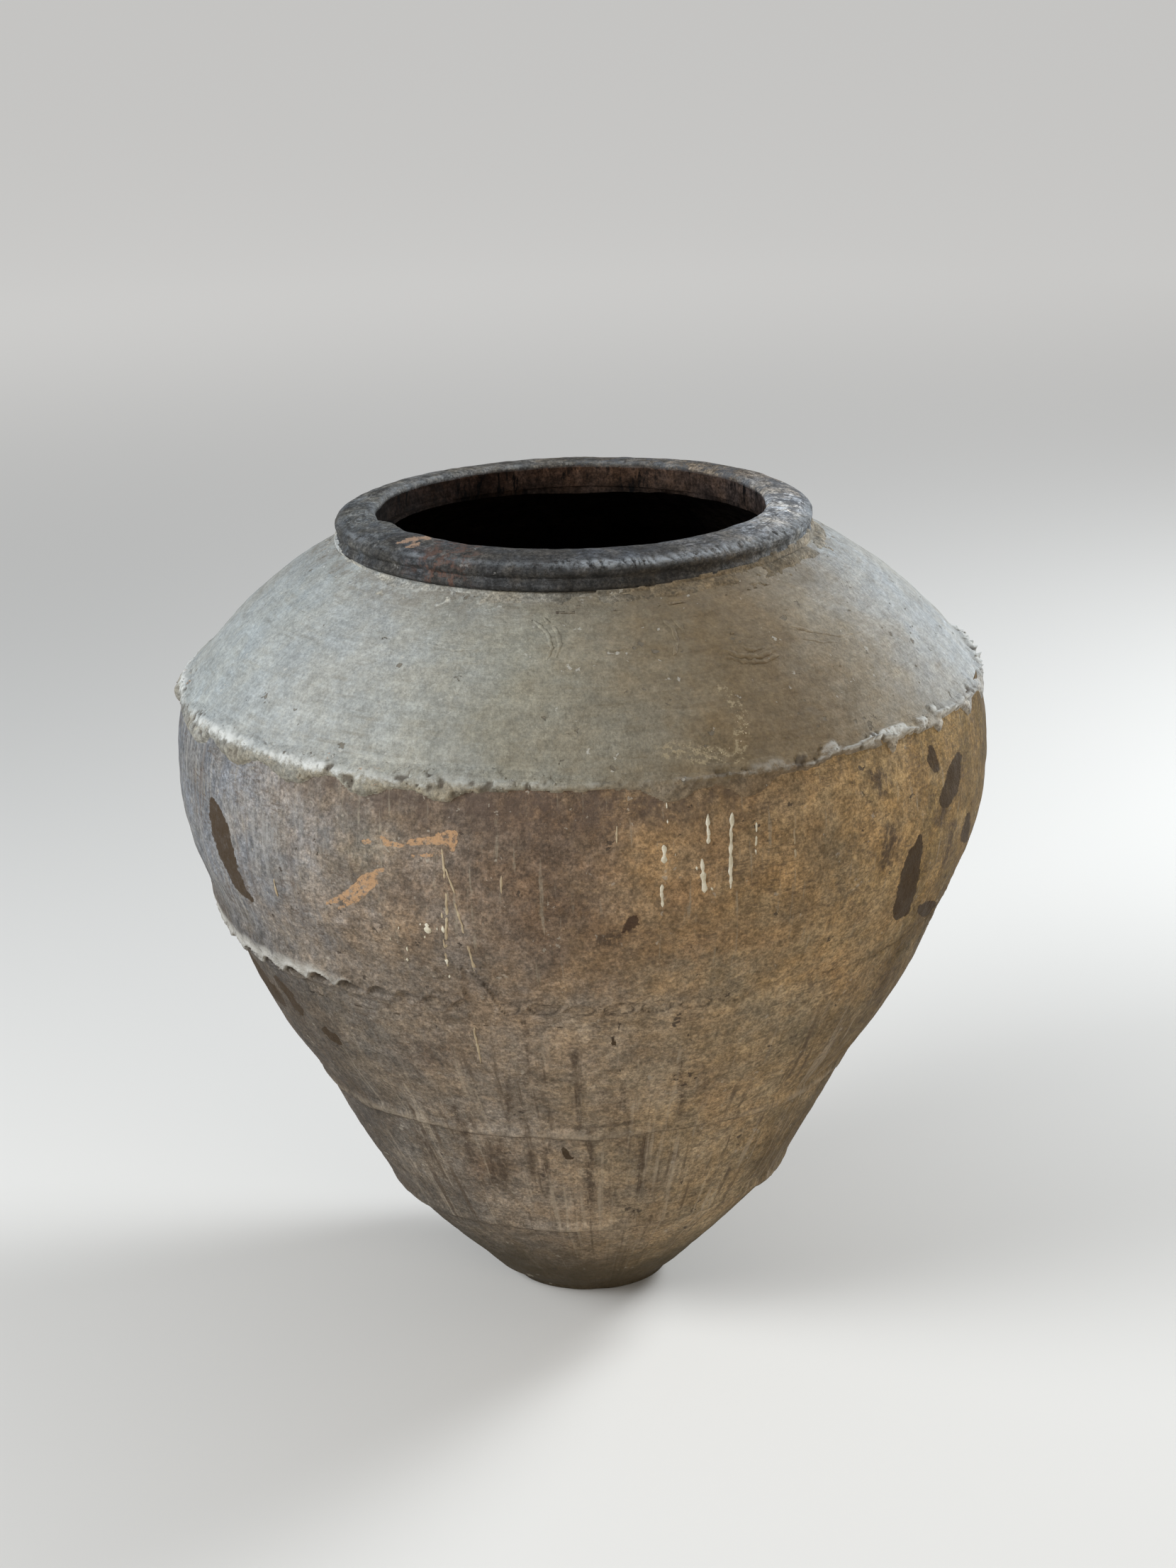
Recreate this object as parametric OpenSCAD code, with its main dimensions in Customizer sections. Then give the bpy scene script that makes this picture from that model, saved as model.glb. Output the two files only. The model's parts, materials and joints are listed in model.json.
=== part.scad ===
// Large coil-built olive jar: five stacked wall sections on a floor slab, each set on the one below
// with a half lap, and every seam luted with a roll of soft clay outside and inside.
// The jar stands on its foot at z = 0, and +Z is the axis of the mouth.

/* [Heights] */
// Thickness of the floor slab
floor_t = 20; // [16:1:30]
// Height of the foot section, above the floor slab
foot_h = 108; // [80:1:130]
// Height of the lower section
lower_h = 125; // [90:5:160]
// Height of the middle section
middle_h = 160; // [120:5:220]
// Height of the belly section
belly_h = 210; // [170:5:260]
// Height of the shoulder
shoulder_h = 128; // [110:2:150]
// Height of the rim
rim_h = 30; // [24:1:40]

/* [Radii outside] */
// Radius of the flat that the jar stands on
base_r = 78; // [70:1:88]
// Radius at the top of the floor slab
slab_r = 97; // [92:1:108]
// Radius at the seam over the foot section
foot_r = 195; // [175:1:205]
// Radius at the seam over the lower section
lower_r = 262; // [250:1:275]
// Radius at the thumb-printed seam over the middle section
middle_r = 345; // [330:1:355]
// Radius at the shoulder seam
belly_r = 372; // [362:1:385]
// Radius of the mouth
mouth_r = 177; // [165:1:185]
// Width of the rim, from the mouth to its outer edge
rim_w = 45; // [40:1:52]

/* [Walls] */
// Thickness of the wall, square to its surface
wall = 18; // [14:1:20]
// How far the foot section swells past a straight line
foot_swell = 1; // [0:0.5:3]
// How far the lower section swells
lower_swell = 2; // [0:0.5:4]
// How far the middle section swells
middle_swell = 5; // [1:0.5:8]
// How far the belly's widest place stands out past the shoulder seam
belly_out = 10.5; // [6:0.5:14]
// How far the shoulder swells
shoulder_swell = 12; // [8:0.5:14]

/* [Lap joints] */
// Height of the inner tongue on the four lower seams
lap_h = 10; // [6:1:14]
// Height of the inner tongue under the shoulder and under the rim
top_lap_h = 5; // [3:1:7]
// Gap left between pieces whose curved faces meet
gap = 0.3; // [0.2:0.1:0.5]

/* [Rim] */
// Width of the flat seat on top of the rim
seat_w = 18; // [12:1:22]
// Rounding of the edge of the mouth
mouth_round = 4; // [2:0.5:6]
// Rounding of the rim's outer edge
rim_round = 8; // [5:0.5:10]
// How far the rim's outer edge lies below its seat
rim_fall = 5; // [2:0.5:8]
// How far the neck is drawn in under the rim
neck_step = 2; // [0.5:0.5:4]

/* [Shoulder lute] */
// How far the roll of clay on the shoulder seam stands proud
ridge_proud = 8; // [5:0.5:9]
// How far its longest lobes hang below the seam
lobe_drop = 24; // [16:1:32]
// How far the clay reaches up the shoulder
ridge_rise = 12; // [8:1:18]
// Number of lobes squeezed out along its lower edge
lobes = 36; // [24:1:48]

/* [Thumbed lute] */
// Number of thumb prints round the seam
prints = 60; // [48:1:66]
// How far the clay stands proud between two prints
print_proud = 6; // [4:0.5:8]
// Share of that thickness left under a thumb print
print_left = 0.35; // [0.25:0.05:0.6]
// Half the height of the printed band
print_reach = 11; // [8:1:14]

/* [Plain lutes] */
// How far the smeared lutes stand proud
smear_proud = 3; // [2:0.5:5]
// How far they reach above and below a seam
smear_reach = 9; // [6:1:14]
// Width of the clay smeared under the rim
neck_reach = 16; // [10:1:22]
// Thickness of the coils pressed into the seams inside
coil_proud = 6; // [4:0.5:9]
// How far the inner coils reach past a joint
coil_reach = 14; // [10:1:20]

/* [Hidden] */

// Seam heights
z_slab = floor_t;
z_foot = z_slab + foot_h;
z_lower = z_foot + lower_h;
z_middle = z_lower + middle_h;
z_belly = z_middle + belly_h;
z_neck = z_belly + shoulder_h;
z_top = z_neck + rim_h;

rim_r = mouth_r + rim_w;
neck_r = rim_r - neck_step;
base_edge = 5;
full_turn = 120;
wall_steps = 12;
print_steps = 4;
lobe_steps = 6;

// Swell that puts the belly's widest place belly_out past the shoulder seam. Where the middle seam is
// wider than that, the belly only swells a little between its seams
belly_side = [belly_r - middle_r, belly_h];
past_lower = max(0, belly_out + belly_side[0]);
belly_swell = pow((sqrt(belly_out) + sqrt(past_lower)) / 2, 2) * norm(belly_side) / belly_h;

// A section is its lower seam, its upper seam and its swell
FOOT = [[slab_r, z_slab], [foot_r, z_foot], foot_swell];
LOWER = [[foot_r, z_foot], [lower_r, z_lower], lower_swell];
MIDDLE = [[lower_r, z_lower], [middle_r, z_middle], middle_swell];
BELLY = [[middle_r, z_middle], [belly_r, z_belly], belly_swell];
SHOULDER = [[belly_r, z_belly], [neck_r, z_neck], shoulder_swell];

// Fired clay colours
body_clay = [0.53, 0.49, 0.46];
pale_clay = [0.66, 0.64, 0.61];
soot = [0.24, 0.22, 0.21];
lute_clay = [0.62, 0.58, 0.53];

// Outline of a section: share t runs from 0 at its lower seam to 1 at its upper seam
function turned(d) = [d[1], -d[0]] / norm(d);
function out_pt(s, t) = s[0] + (s[1] - s[0]) * t + turned(s[1] - s[0]) * s[2] * 4 * t * (1 - t);
function heading(s, t) = (s[1] - s[0]) + turned(s[1] - s[0]) * s[2] * 4 * (1 - 2 * t);
function in_pt(s, t) = out_pt(s, t) - [wall * norm(heading(s, t)) / heading(s, t)[1], 0];
function in_line(s) = [for (i = [0:wall_steps]) in_pt(s, i / wall_steps)];
function in_r(s, z) = lookup(z, [for (p = in_line(s)) [p[1], p[0]]]);
function tongue_r(r) = r - wall / 2;

// Wall of a section: lap is the tongue it stands over, next_lap the tongue it carries
module section_wall(s, lap, next_lap) {
    low = s[0];
    high = s[1];
    face = in_line(s);
    rotate_extrude($fn = full_turn) polygon(concat(
        [for (i = [0:wall_steps]) out_pt(s, i / wall_steps)],
        [[tongue_r(high[0]), high[1]], [tongue_r(high[0]), high[1] + next_lap]],
        [[in_r(s, high[1]), high[1] + next_lap]],
        [for (i = [wall_steps:-1:0]) if (face[i][1] > low[1] + lap + 0.5) face[i]],
        [[in_r(s, low[1] + lap), low[1] + lap]],
        [[tongue_r(low[0]) + gap, low[1] + lap], [tongue_r(low[0]) + gap, low[1]]]
    ));
}

module floor_slab() {
    bore_r = in_r(FOOT, z_slab);
    color(body_clay) rotate_extrude($fn = full_turn) polygon([
        [0, 0], [base_r - base_edge, 0], [base_r, base_edge], [slab_r, z_slab],
        [tongue_r(slab_r), z_slab], [tongue_r(slab_r), z_slab + lap_h],
        [bore_r, z_slab + lap_h], [bore_r, z_slab], [0, z_slab]
    ]);
}

module foot_section() color(body_clay) section_wall(FOOT, lap_h, lap_h);

module lower_section() color(body_clay) section_wall(LOWER, lap_h, lap_h);

module middle_section() color(body_clay) section_wall(MIDDLE, lap_h, lap_h);

module belly_section() color(body_clay) section_wall(BELLY, lap_h, top_lap_h);

module shoulder() color(pale_clay) section_wall(SHOULDER, top_lap_h, top_lap_h);

// The rim has a flat seat, falls a little to its rounded outer edge, and stands over the neck
module rim() {
    edge = [rim_r - rim_round, z_top - rim_fall - rim_round];
    lip = [mouth_r + mouth_round, z_top - mouth_round];
    color(soot) rotate_extrude($fn = full_turn) polygon(concat(
        [[tongue_r(neck_r) + gap, z_neck], [neck_r, z_neck], [rim_r, z_neck + neck_step]],
        [for (a = [0:15:75]) edge + rim_round * [cos(a), sin(a)]],
        [[lip[0] + seat_w, z_top]],
        [for (a = [90:15:180]) lip + mouth_round * [cos(a), sin(a)]],
        [[mouth_r, z_neck + top_lap_h], [tongue_r(neck_r) + gap, z_neck + top_lap_h]]
    ));
}

// Clay on a seam is placed by its distance s from the seam: below it s is negative
function skin_pt(lo, up, s) =
    s < 0 ? out_pt(lo, 1 + s / norm(lo[1] - lo[0])) : out_pt(up, s / norm(up[1] - up[0]));
function skin_heading(lo, up, s) =
    s < 0 ? heading(lo, 1 + s / norm(lo[1] - lo[0])) :
    s > 0 ? heading(up, s / norm(up[1] - up[0])) :
    heading(lo, 1) / norm(heading(lo, 1)) + heading(up, 0) / norm(heading(up, 0));
function skin_at(lo, up, s, lift) = skin_pt(lo, up, s) + turned(skin_heading(lo, up, s)) * lift;

// Stations from the lower edge of a lute to its upper edge, and how full the roll is at each
FULLNESS = [0, 0.75, 1, 1, 0.7, 0];
function stations(drop, rise) = [-drop, -drop * 0.7, -drop * 0.35, 0, rise * 0.5, rise];
function lute_outline(lo, up, drop, rise, proud) =
    let (st = stations(drop, rise))
    concat(
        [for (i = [0:5]) skin_at(lo, up, st[i], gap + proud * FULLNESS[i])],
        [for (i = [4:-1:1]) skin_at(lo, up, st[i], gap)]
    );

module plain_lute(lo, up) {
    rotate_extrude($fn = full_turn)
        polygon(lute_outline(lo, up, smear_reach, smear_reach, smear_proud));
}

// A closed sweep round the jar: outlines is one outline for each step of the turn
module swept_lute(outlines) {
    n = len(outlines);
    m = len(outlines[0]);
    points = [for (i = [0:n - 1]) for (p = outlines[i])
        [p[0] * cos(360 * i / n), p[0] * sin(360 * i / n), p[1]]];
    faces = [for (i = [0:n - 1]) for (j = [0:m - 1])
        let (a = i * m + j, b = i * m + (j + 1) % m,
            c = (i + 1) % n * m + (j + 1) % m, d = (i + 1) % n * m + j)
        for (f = [[a, b, c], [a, c, d]]) f];
    polyhedron(points, faces);
}

module foot_lute() color(lute_clay) plain_lute(FOOT, LOWER);

module lower_lute() color(lute_clay) plain_lute(LOWER, MIDDLE);

// Thumb prints press the roll down to a share of its thickness, evenly round the seam
module thumbed_lute() {
    n = prints * print_steps;
    color(lute_clay) swept_lute([for (i = [0:n - 1])
        let (ridge = abs(cos(180 * i / print_steps)),
            proud = print_proud * (print_left + (1 - print_left) * ridge))
        lute_outline(MIDDLE, BELLY, print_reach, print_reach, proud)]);
}

// The shoulder lute hangs in lobes of uneven length, as the squeezed clay was left
module shoulder_lute() {
    n = lobes * lobe_steps;
    color(lute_clay) swept_lute([for (i = [0:n - 1])
        let (lobe = abs(sin(180 * i / lobe_steps)),
            long = 0.8 + 0.2 * cos(7 * 360 * i / n),
            drop = lobe_drop * long * (0.55 + 0.45 * lobe),
            proud = ridge_proud * (0.8 + 0.2 * lobe))
        lute_outline(BELLY, SHOULDER, drop, ridge_rise, proud)]);
}

// Clay smeared on the top of the shoulder up to the rim
module neck_lute() {
    t0 = 1 - neck_reach / norm(SHOULDER[1] - SHOULDER[0]);
    shares = [for (i = [0:4]) t0 + (1 - t0) * i / 4];
    full = [0, 0.8, 1, 1];
    lift = [for (i = [0:3]) out_pt(SHOULDER, shares[i]) + turned(heading(SHOULDER, shares[i])) * gap];
    top = [neck_r + gap, z_neck];
    color(lute_clay) rotate_extrude($fn = full_turn) polygon(concat(
        [for (i = [0:3]) lift[i] + turned(heading(SHOULDER, shares[i])) * smear_proud * full[i]],
        [top],
        [for (i = [3:-1:1]) lift[i]]
    ));
}

// A coil pressed into the inside of a seam, over the tongue of its lap joint
module inner_coil(lo, up, lap) {
    z = lo[1][1];
    tongue_in = in_r(lo, z);
    back = [
        [in_r(lo, z - coil_reach) - gap, z - coil_reach],
        [min(tongue_in, in_r(up, z)) - gap, z],
        [min(tongue_in, in_r(up, z + lap)) - gap, z + lap],
        [in_r(up, z + lap + coil_reach) - gap, z + lap + coil_reach]
    ];
    rotate_extrude($fn = full_turn) polygon([
        back[0], back[1], back[2], back[3],
        back[2] - [coil_proud, 0], back[1] - [coil_proud, 0]
    ]);
}

// The floor coil fills the corner between the slab and the wall
module floor_coil() {
    face = in_r(FOOT, z_slab) - gap;
    high = z_slab + lap_h + coil_reach;
    color(lute_clay) rotate_extrude($fn = full_turn) polygon([
        [face - coil_reach, z_slab], [face, z_slab], [face, z_slab + lap_h],
        [in_r(FOOT, high) - gap, high], [face - coil_proud, z_slab + lap_h]
    ]);
}

module foot_coil() color(lute_clay) inner_coil(FOOT, LOWER, lap_h);

module lower_coil() color(lute_clay) inner_coil(LOWER, MIDDLE, lap_h);

module middle_coil() color(lute_clay) inner_coil(MIDDLE, BELLY, lap_h);

module shoulder_coil() color(lute_clay) inner_coil(BELLY, SHOULDER, top_lap_h);

floor_slab();
foot_section();
lower_section();
middle_section();
belly_section();
shoulder();
rim();
foot_lute();
lower_lute();
thumbed_lute();
shoulder_lute();
neck_lute();
floor_coil();
foot_coil();
lower_coil();
middle_coil();
shoulder_coil();
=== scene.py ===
# %% [markdown]
# # A large coil-built olive jar
# The jar is made of five rings of clay stacked on a floor slab, with a rim on top. Every seam between two
# rings is luted: the potter presses a roll of soft clay over it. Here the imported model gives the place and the
# size of every ring, and this lesson dresses each one in a surface that looks handmade.

# %% Load the frame
import json
import math

import bmesh
import bpy
import numpy as np
from mathutils import Matrix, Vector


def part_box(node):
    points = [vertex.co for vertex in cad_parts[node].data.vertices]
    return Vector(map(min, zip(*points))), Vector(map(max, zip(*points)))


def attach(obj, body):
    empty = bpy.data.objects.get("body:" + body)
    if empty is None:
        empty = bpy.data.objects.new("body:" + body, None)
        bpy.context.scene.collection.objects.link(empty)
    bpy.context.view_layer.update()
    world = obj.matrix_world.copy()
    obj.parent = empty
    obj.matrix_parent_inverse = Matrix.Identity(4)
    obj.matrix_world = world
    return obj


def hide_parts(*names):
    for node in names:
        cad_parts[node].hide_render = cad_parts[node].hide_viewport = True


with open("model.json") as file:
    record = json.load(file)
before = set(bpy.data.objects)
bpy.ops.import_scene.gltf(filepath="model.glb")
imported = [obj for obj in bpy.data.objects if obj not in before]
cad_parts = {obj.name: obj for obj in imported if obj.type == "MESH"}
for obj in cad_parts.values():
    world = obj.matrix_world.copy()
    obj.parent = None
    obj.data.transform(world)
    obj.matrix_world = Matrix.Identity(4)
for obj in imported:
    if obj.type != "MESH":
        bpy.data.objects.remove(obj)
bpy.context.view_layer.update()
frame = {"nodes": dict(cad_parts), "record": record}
MM = 0.001
print("pieces in the frame:", len(frame["nodes"]))

# %% [markdown]
# ## The outline of the jar
# A thrown or coiled wall is a line turned about an axis, so the whole jar needs only a few seam points and how far
# each ring swells between them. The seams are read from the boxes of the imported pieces, which keeps this script
# in step with them. A section is then a short curve: its two seams and its swell.

# %% Seams and sections
WALL = 18 * MM
LAP = 10 * MM
TOP_LAP = 5 * MM
NECK_STEP = 2 * MM
BASE_EDGE = 5 * MM
BASE_R = 78 * MM
ORDER = ["foot_section", "lower_section", "middle_section", "belly_section", "shoulder", "rim"]

seam_z = [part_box(name)[0].z for name in ORDER]
z_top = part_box("rim")[1].z
slab_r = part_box("floor_slab")[1].x
rim_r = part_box("rim")[1].x
neck_r = rim_r - NECK_STEP
mouth_r = next(m for m in frame["record"]["mounts"] if m["name"] == "mouth")["dims"]["r_mm"] * MM
seam_r = [slab_r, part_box("foot_section")[1].x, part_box("lower_section")[1].x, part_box("middle_section")[1].x,
          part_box("shoulder")[1].x, neck_r]
seams = [np.array(pair) for pair in zip(seam_r + [neck_r], seam_z + [z_top])]

# The belly swells as far as its widest place says, and the other sections by these amounts
widest_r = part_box("belly_section")[1].x
belly_side = seams[4] - seams[3]
belly_swell = ((math.sqrt(widest_r - seam_r[4]) + math.sqrt(widest_r - seam_r[3])) / 2) ** 2
belly_swell *= np.linalg.norm(belly_side) / belly_side[1]
SWELLS = [1 * MM, 2 * MM, 5 * MM, belly_swell, 12 * MM, 0.0]
SECTIONS = {name: (seams[i], seams[i + 1], SWELLS[i]) for i, name in enumerate(ORDER)}
WALLS = ORDER[:-1]


def outline(section, t):
    """Points (radius, height) and outward normals of a section at shares t of its length."""
    low, high, swell = SECTIONS[section]
    t = np.atleast_1d(np.asarray(t, float))[:, None]
    along = high - low
    out = np.array([along[1], -along[0]]) / np.linalg.norm(along)
    points = low + along * t + out * swell * 4 * t * (1 - t)
    heading = along + out * swell * 4 * (1 - 2 * t)
    normals = np.stack([heading[:, 1], -heading[:, 0]], 1)
    return points, normals / np.linalg.norm(normals, axis=1)[:, None]


parts = [outline(name, np.linspace(0, 1, 40)) for name in WALLS]
stack = np.concatenate([[[BASE_R, 0.0]]] + [part[0] for part in parts]
                       + [[[rim_r, seam_z[5] + NECK_STEP], [rim_r, z_top]]])
stack_normals = np.concatenate([[[1.0, 0.0]]] + [part[1] for part in parts] + [[[1.0, 0.0], [1.0, 0.0]]])
print("belly", round(2 * stack[:, 0].max() * 1000), "mm across,", round(z_top * 1000), "mm tall")

# %% [markdown]
# ## The camera
# The camera stands about three metres in front of the jar and looks down on it by 18 degrees. Its place was found
# by matching the ellipses of the rim and the seams. A pixel of the picture can then be sent back to the clay, which
# is how single marks such as a scrape or a run of lime find their place.

# %% Camera
PHOTO = (1659, 2212)
FOCAL_PX = 4400
PITCH = math.radians(18.13)
ROLL = math.radians(-1.6)
EYE = np.array([0.004, -2.852, 1.437])
PX = 1 / 1500

forward = np.array([0, math.cos(PITCH), -math.sin(PITCH)])
level_up = np.array([0, math.sin(PITCH), math.cos(PITCH)])
level_right = np.array([1.0, 0, 0])
right = math.cos(ROLL) * level_right + math.sin(ROLL) * level_up
up = math.cos(ROLL) * level_up - math.sin(ROLL) * level_right

camera_data = bpy.data.cameras.new("camera")
camera_data.lens = FOCAL_PX / PHOTO[1] * camera_data.sensor_width
camera = bpy.data.objects.new("camera", camera_data)
bpy.context.scene.collection.objects.link(camera)
axes = np.stack([right, up, -forward, EYE], 1)
camera.matrix_world = Matrix([*axes.tolist(), [0, 0, 0, 1]])
bpy.context.scene.camera = camera

RAY = np.linspace(2.2, 3.6, 7001)[:, None]


def on_wall(px, py):
    """The point of the jar's outside that a pixel of the picture shows; PX is a pixel's size there in metres."""
    d = forward + right * (px - PHOTO[0] / 2) / FOCAL_PX - up * (py - PHOTO[1] / 2) / FOCAL_PX
    p = EYE + RAY * d
    inside = np.hypot(p[:, 0], p[:, 1]) < np.interp(p[:, 2], stack[:, 1], stack[:, 0])
    return p[np.argmax(inside & (p[:, 2] > 0) & (p[:, 2] < z_top))]


def in_picture(points):
    """The pixels of the picture at which points show."""
    ray = points - EYE
    depth = ray @ forward
    return np.stack([PHOTO[0] / 2 + FOCAL_PX * (ray @ right) / depth, PHOTO[1] / 2 - FOCAL_PX * (ray @ up) / depth], 1)


def turn_of(point):
    return math.atan2(point[1], point[0])


def turn_gap(a, b):
    """Turn from angle b to angle a, from -pi to pi."""
    return (a - b + math.pi) % (2 * math.pi) - math.pi


print("lens", round(camera_data.lens, 1), "mm, distance", round(float(np.linalg.norm(EYE)), 2), "m")

# %% [markdown]
# ## Noise for the clay
# Handmade clay is never smooth: it is dented by the hand, ridged by the wiping cloth and pitted by grit. All of
# that is one function here, a value noise that gives each point in space its own number, so that neighbouring
# pieces agree where they meet and the jar looks the same on each run.

# %% Value noise
def cell_value(i, seed):
    """A repeatable number from -1 to 1 for each cell of a lattice."""
    i = i.astype(np.uint32)
    with np.errstate(over="ignore"):
        h = i[:, 0] * np.uint32(374761393) + i[:, 1] * np.uint32(668265263) + i[:, 2] * np.uint32(2246822519)
        h = h + np.uint32(seed * 3266489 % 2 ** 32)
        h = (h ^ (h >> np.uint32(13))) * np.uint32(1274126177)
        h = h ^ (h >> np.uint32(16))
    return h / 2.0 ** 31 - 1


def noise(points, size, seed):
    """Smooth noise from -1 to 1, whose dents are about size across; size may differ along x, y and z."""
    q = points / np.asarray(size) + 1000.0
    base = np.floor(q).astype(np.int64)
    f = q - base
    f = f * f * f * (f * (f * 6 - 15) + 10)
    total = np.zeros(len(points))
    for corner in np.ndindex(2, 2, 2):
        weight = np.prod(np.where(np.array(corner) == 1, f, 1 - f), axis=1)
        total += weight * cell_value(base + np.array(corner), seed)
    return total


def noise_round(points, size, seed):
    """Noise that only changes round the jar and not with height."""
    return noise(points, (size, size, 9), seed)


def smooth(x, low, high):
    """0 below low, 1 above high, and a soft step between them."""
    t = np.clip((x - low) / (high - low), 0, 1)
    return t * t * (3 - 2 * t)


def hump(x, middle, half):
    """A soft hump, 1 at the middle and nearly 0 beyond twice its half width."""
    return np.exp(-((x - middle) / half) ** 2)


# The jar grew a little to the left as it was built: millimetres at its foot, and the heights where that ends
LEAN = 7.0
LEAN_ABOVE = (0.12, 0.48)
# The middle section stands a little fuller at both sides than at the front, in millimetres
FULLER = 4.0


def stance(p):
    """How far the wall as a whole, inside and outside, has moved out from the true round, in metres."""
    turn = np.arctan2(p[:, 1], p[:, 0])
    oval = 1.2 * np.cos(2 * turn + 0.6) + 0.7 * np.cos(3 * turn + 2.0)
    lean = LEAN * (smooth(p[:, 2], *LEAN_ABOVE) - 1) * np.cos(turn)
    climb = np.clip((p[:, 2] - seam_z[2]) / (seam_z[3] - seam_z[2]), 0, 1)
    fuller = FULLER * np.sin(math.pi * climb) * np.cos(turn) ** 2
    return (oval + lean + fuller) * MM


def relief(p):
    """How far the clay stands proud of the true outline, in metres."""
    dents = 1.3 * noise(p, 0.12, 1) + 0.7 * noise(p, 0.045, 2) + 0.4 * noise(p, 0.017, 3) + 0.2 * noise(p, 0.008, 6)
    rings = 0.4 * noise(p, (0.4, 0.4, 0.016), 4) + 0.18 * noise(p, (0.2, 0.2, 0.006), 5)
    return stance(p) + (dents + rings) * MM


def on_clay(p, lift=0.0):
    """Points of the true outline, moved out on to the dented clay and lift beyond it, and their normals."""
    turn = np.arctan2(p[:, 1], p[:, 0])
    radial, upward = (np.interp(p[:, 2], stack[:, 1], stack_normals[:, k]) for k in (0, 1))
    normals = np.stack([radial * np.cos(turn), radial * np.sin(turn), upward], 1)
    return p + normals * (relief(p) + lift)[:, None], normals

# %% [markdown]
# ## Turning outlines into pieces
# Every ring is closed like the real one: an outside, an inside, and the half lap where it sits on the ring below.
# The outline is walked once round its section, and the section is walked round the jar, which gives a grid that
# closes on itself both ways and has no seam or pole to hide.

# %% Mesh helpers
def make_object(name, points, faces):
    mesh = bpy.data.meshes.new(name)
    mesh.vertices.add(len(points))
    mesh.vertices.foreach_set("co", np.asarray(points, np.float32).ravel())
    size = faces.shape[1]
    mesh.loops.add(faces.size)
    mesh.loops.foreach_set("vertex_index", faces.ravel().astype(np.int32))
    mesh.polygons.add(len(faces))
    mesh.polygons.foreach_set("loop_start", np.arange(0, faces.size, size, dtype=np.int32))
    mesh.update(calc_edges=True)
    mesh.polygons.foreach_set("use_smooth", np.ones(len(faces), bool))
    obj = bpy.data.objects.new(name, mesh)
    bpy.context.scene.collection.objects.link(obj)
    return obj


def store(obj, name, values):
    """Keeps one number for each vertex, for a material or a node tree to read."""
    attribute = obj.data.attributes.new(name, "FLOAT", "POINT")
    attribute.data.foreach_set("value", np.asarray(values, np.float32))


def turn_grid(turns, count):
    """Faces of a grid of count points round its section and turns steps round the jar, closed both ways."""
    i, j = np.meshgrid(np.arange(turns), np.arange(count), indexing="ij")
    i2, j2 = (i + 1) % turns, (j + 1) % count
    return np.stack([i * count + j, i2 * count + j, i2 * count + j2, i * count + j2], -1).reshape(-1, 4)


def turned_points(section_points, turns):
    """Points of an outline (radius, height) turned about the axis: turns x count x 3."""
    a = np.linspace(0, 2 * math.pi, turns, endpoint=False)[:, None]
    r, z = section_points[:, 0], section_points[:, 1]
    return np.stack([r * np.cos(a), r * np.sin(a), np.broadcast_to(z, (turns, len(z)))], -1)


def push(points, normals, amount):
    """Moves turned points along the normals (radial, upward) of their outline by amount."""
    a = np.arctan2(points[..., 1], points[..., 0])
    n = np.stack([normals[:, 0] * np.cos(a), normals[:, 0] * np.sin(a), np.broadcast_to(normals[:, 1], a.shape)], -1)
    return points + n * amount[..., None]


# %% Wall rings
OUTER_STEP = 2.9 * MM
INNER_STEP = 9 * MM
INNER_WAVE = 1.6
LAPS = {"foot_section": (LAP, LAP), "lower_section": (LAP, LAP), "middle_section": (LAP, LAP),
        "belly_section": (LAP, TOP_LAP), "shoulder": (TOP_LAP, TOP_LAP)}


def inner_outline(section, t):
    points, normals = outline(section, t)
    points = points.copy()
    points[:, 0] -= WALL / normals[:, 0]
    return points, -normals


def inner_radius(section, z):
    points = inner_outline(section, np.linspace(0, 1, 30))[0]
    return np.interp(z, points[:, 1], points[:, 0])


def wall_piece(section):
    """A closed ring of clay between two seams, with its half laps."""
    low, high, _ = SECTIONS[section]
    lap, next_lap = LAPS[section]
    length = np.linalg.norm(high - low)
    turns = 8 * round(2 * math.pi * max(low[0], high[0]) / OUTER_STEP / 8)
    out, out_n = outline(section, np.linspace(0, 1, round(length / OUTER_STEP)))
    inner, inner_n = inner_outline(section, np.linspace(1, 0, round(length / INNER_STEP)))
    keep = inner[:, 1] > low[1] + lap + 1 * MM
    inner, inner_n = inner[keep], inner_n[keep]
    tongue, ledge = high[0] - WALL / 2, low[0] - WALL / 2
    over = np.array([[tongue, high[1]], [tongue, high[1] + next_lap], [inner[0, 0], high[1] + next_lap]])
    under = np.array([[inner_radius(section, low[1] + lap), low[1] + lap], [ledge, low[1] + lap], [ledge, low[1]]])
    profile = np.concatenate([out, over, inner, under])
    normals = np.concatenate([out_n, np.tile([1.0, 0.0], (3, 1)), inner_n, np.tile([1.0, 0.0], (3, 1))])
    follows = np.concatenate([np.ones(len(out) + 3), -np.ones(len(inner)), np.ones(3)])
    dented = np.concatenate([np.ones(len(out)), np.zeros(3), np.full(len(inner), INNER_WAVE), np.zeros(3)])
    grid = turned_points(profile, turns)
    p = grid.reshape(-1, 3)
    bump = stance(p).reshape(turns, -1) * follows + (relief(p) - stance(p)).reshape(turns, -1) * dented
    obj = make_object(section + "_clay", push(grid, normals, bump).reshape(-1, 3), turn_grid(turns, len(profile)))
    store(obj, "inside", np.tile(np.arange(len(profile)) >= len(out), turns))
    obj.data.set_sharp_from_angle(angle=math.radians(50))
    return obj


walls = {name: wall_piece(name) for name in WALLS}
for name, obj in walls.items():
    print(name, len(obj.data.polygons), "faces")

# %% [markdown]
# ## The floor slab
# The slab is a disc with a raised ring that locates the first wall. Only its edge and its underside can be seen.
# It is turned in the same way, from axis to axis, and its two centre points are then merged into single poles.

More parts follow.
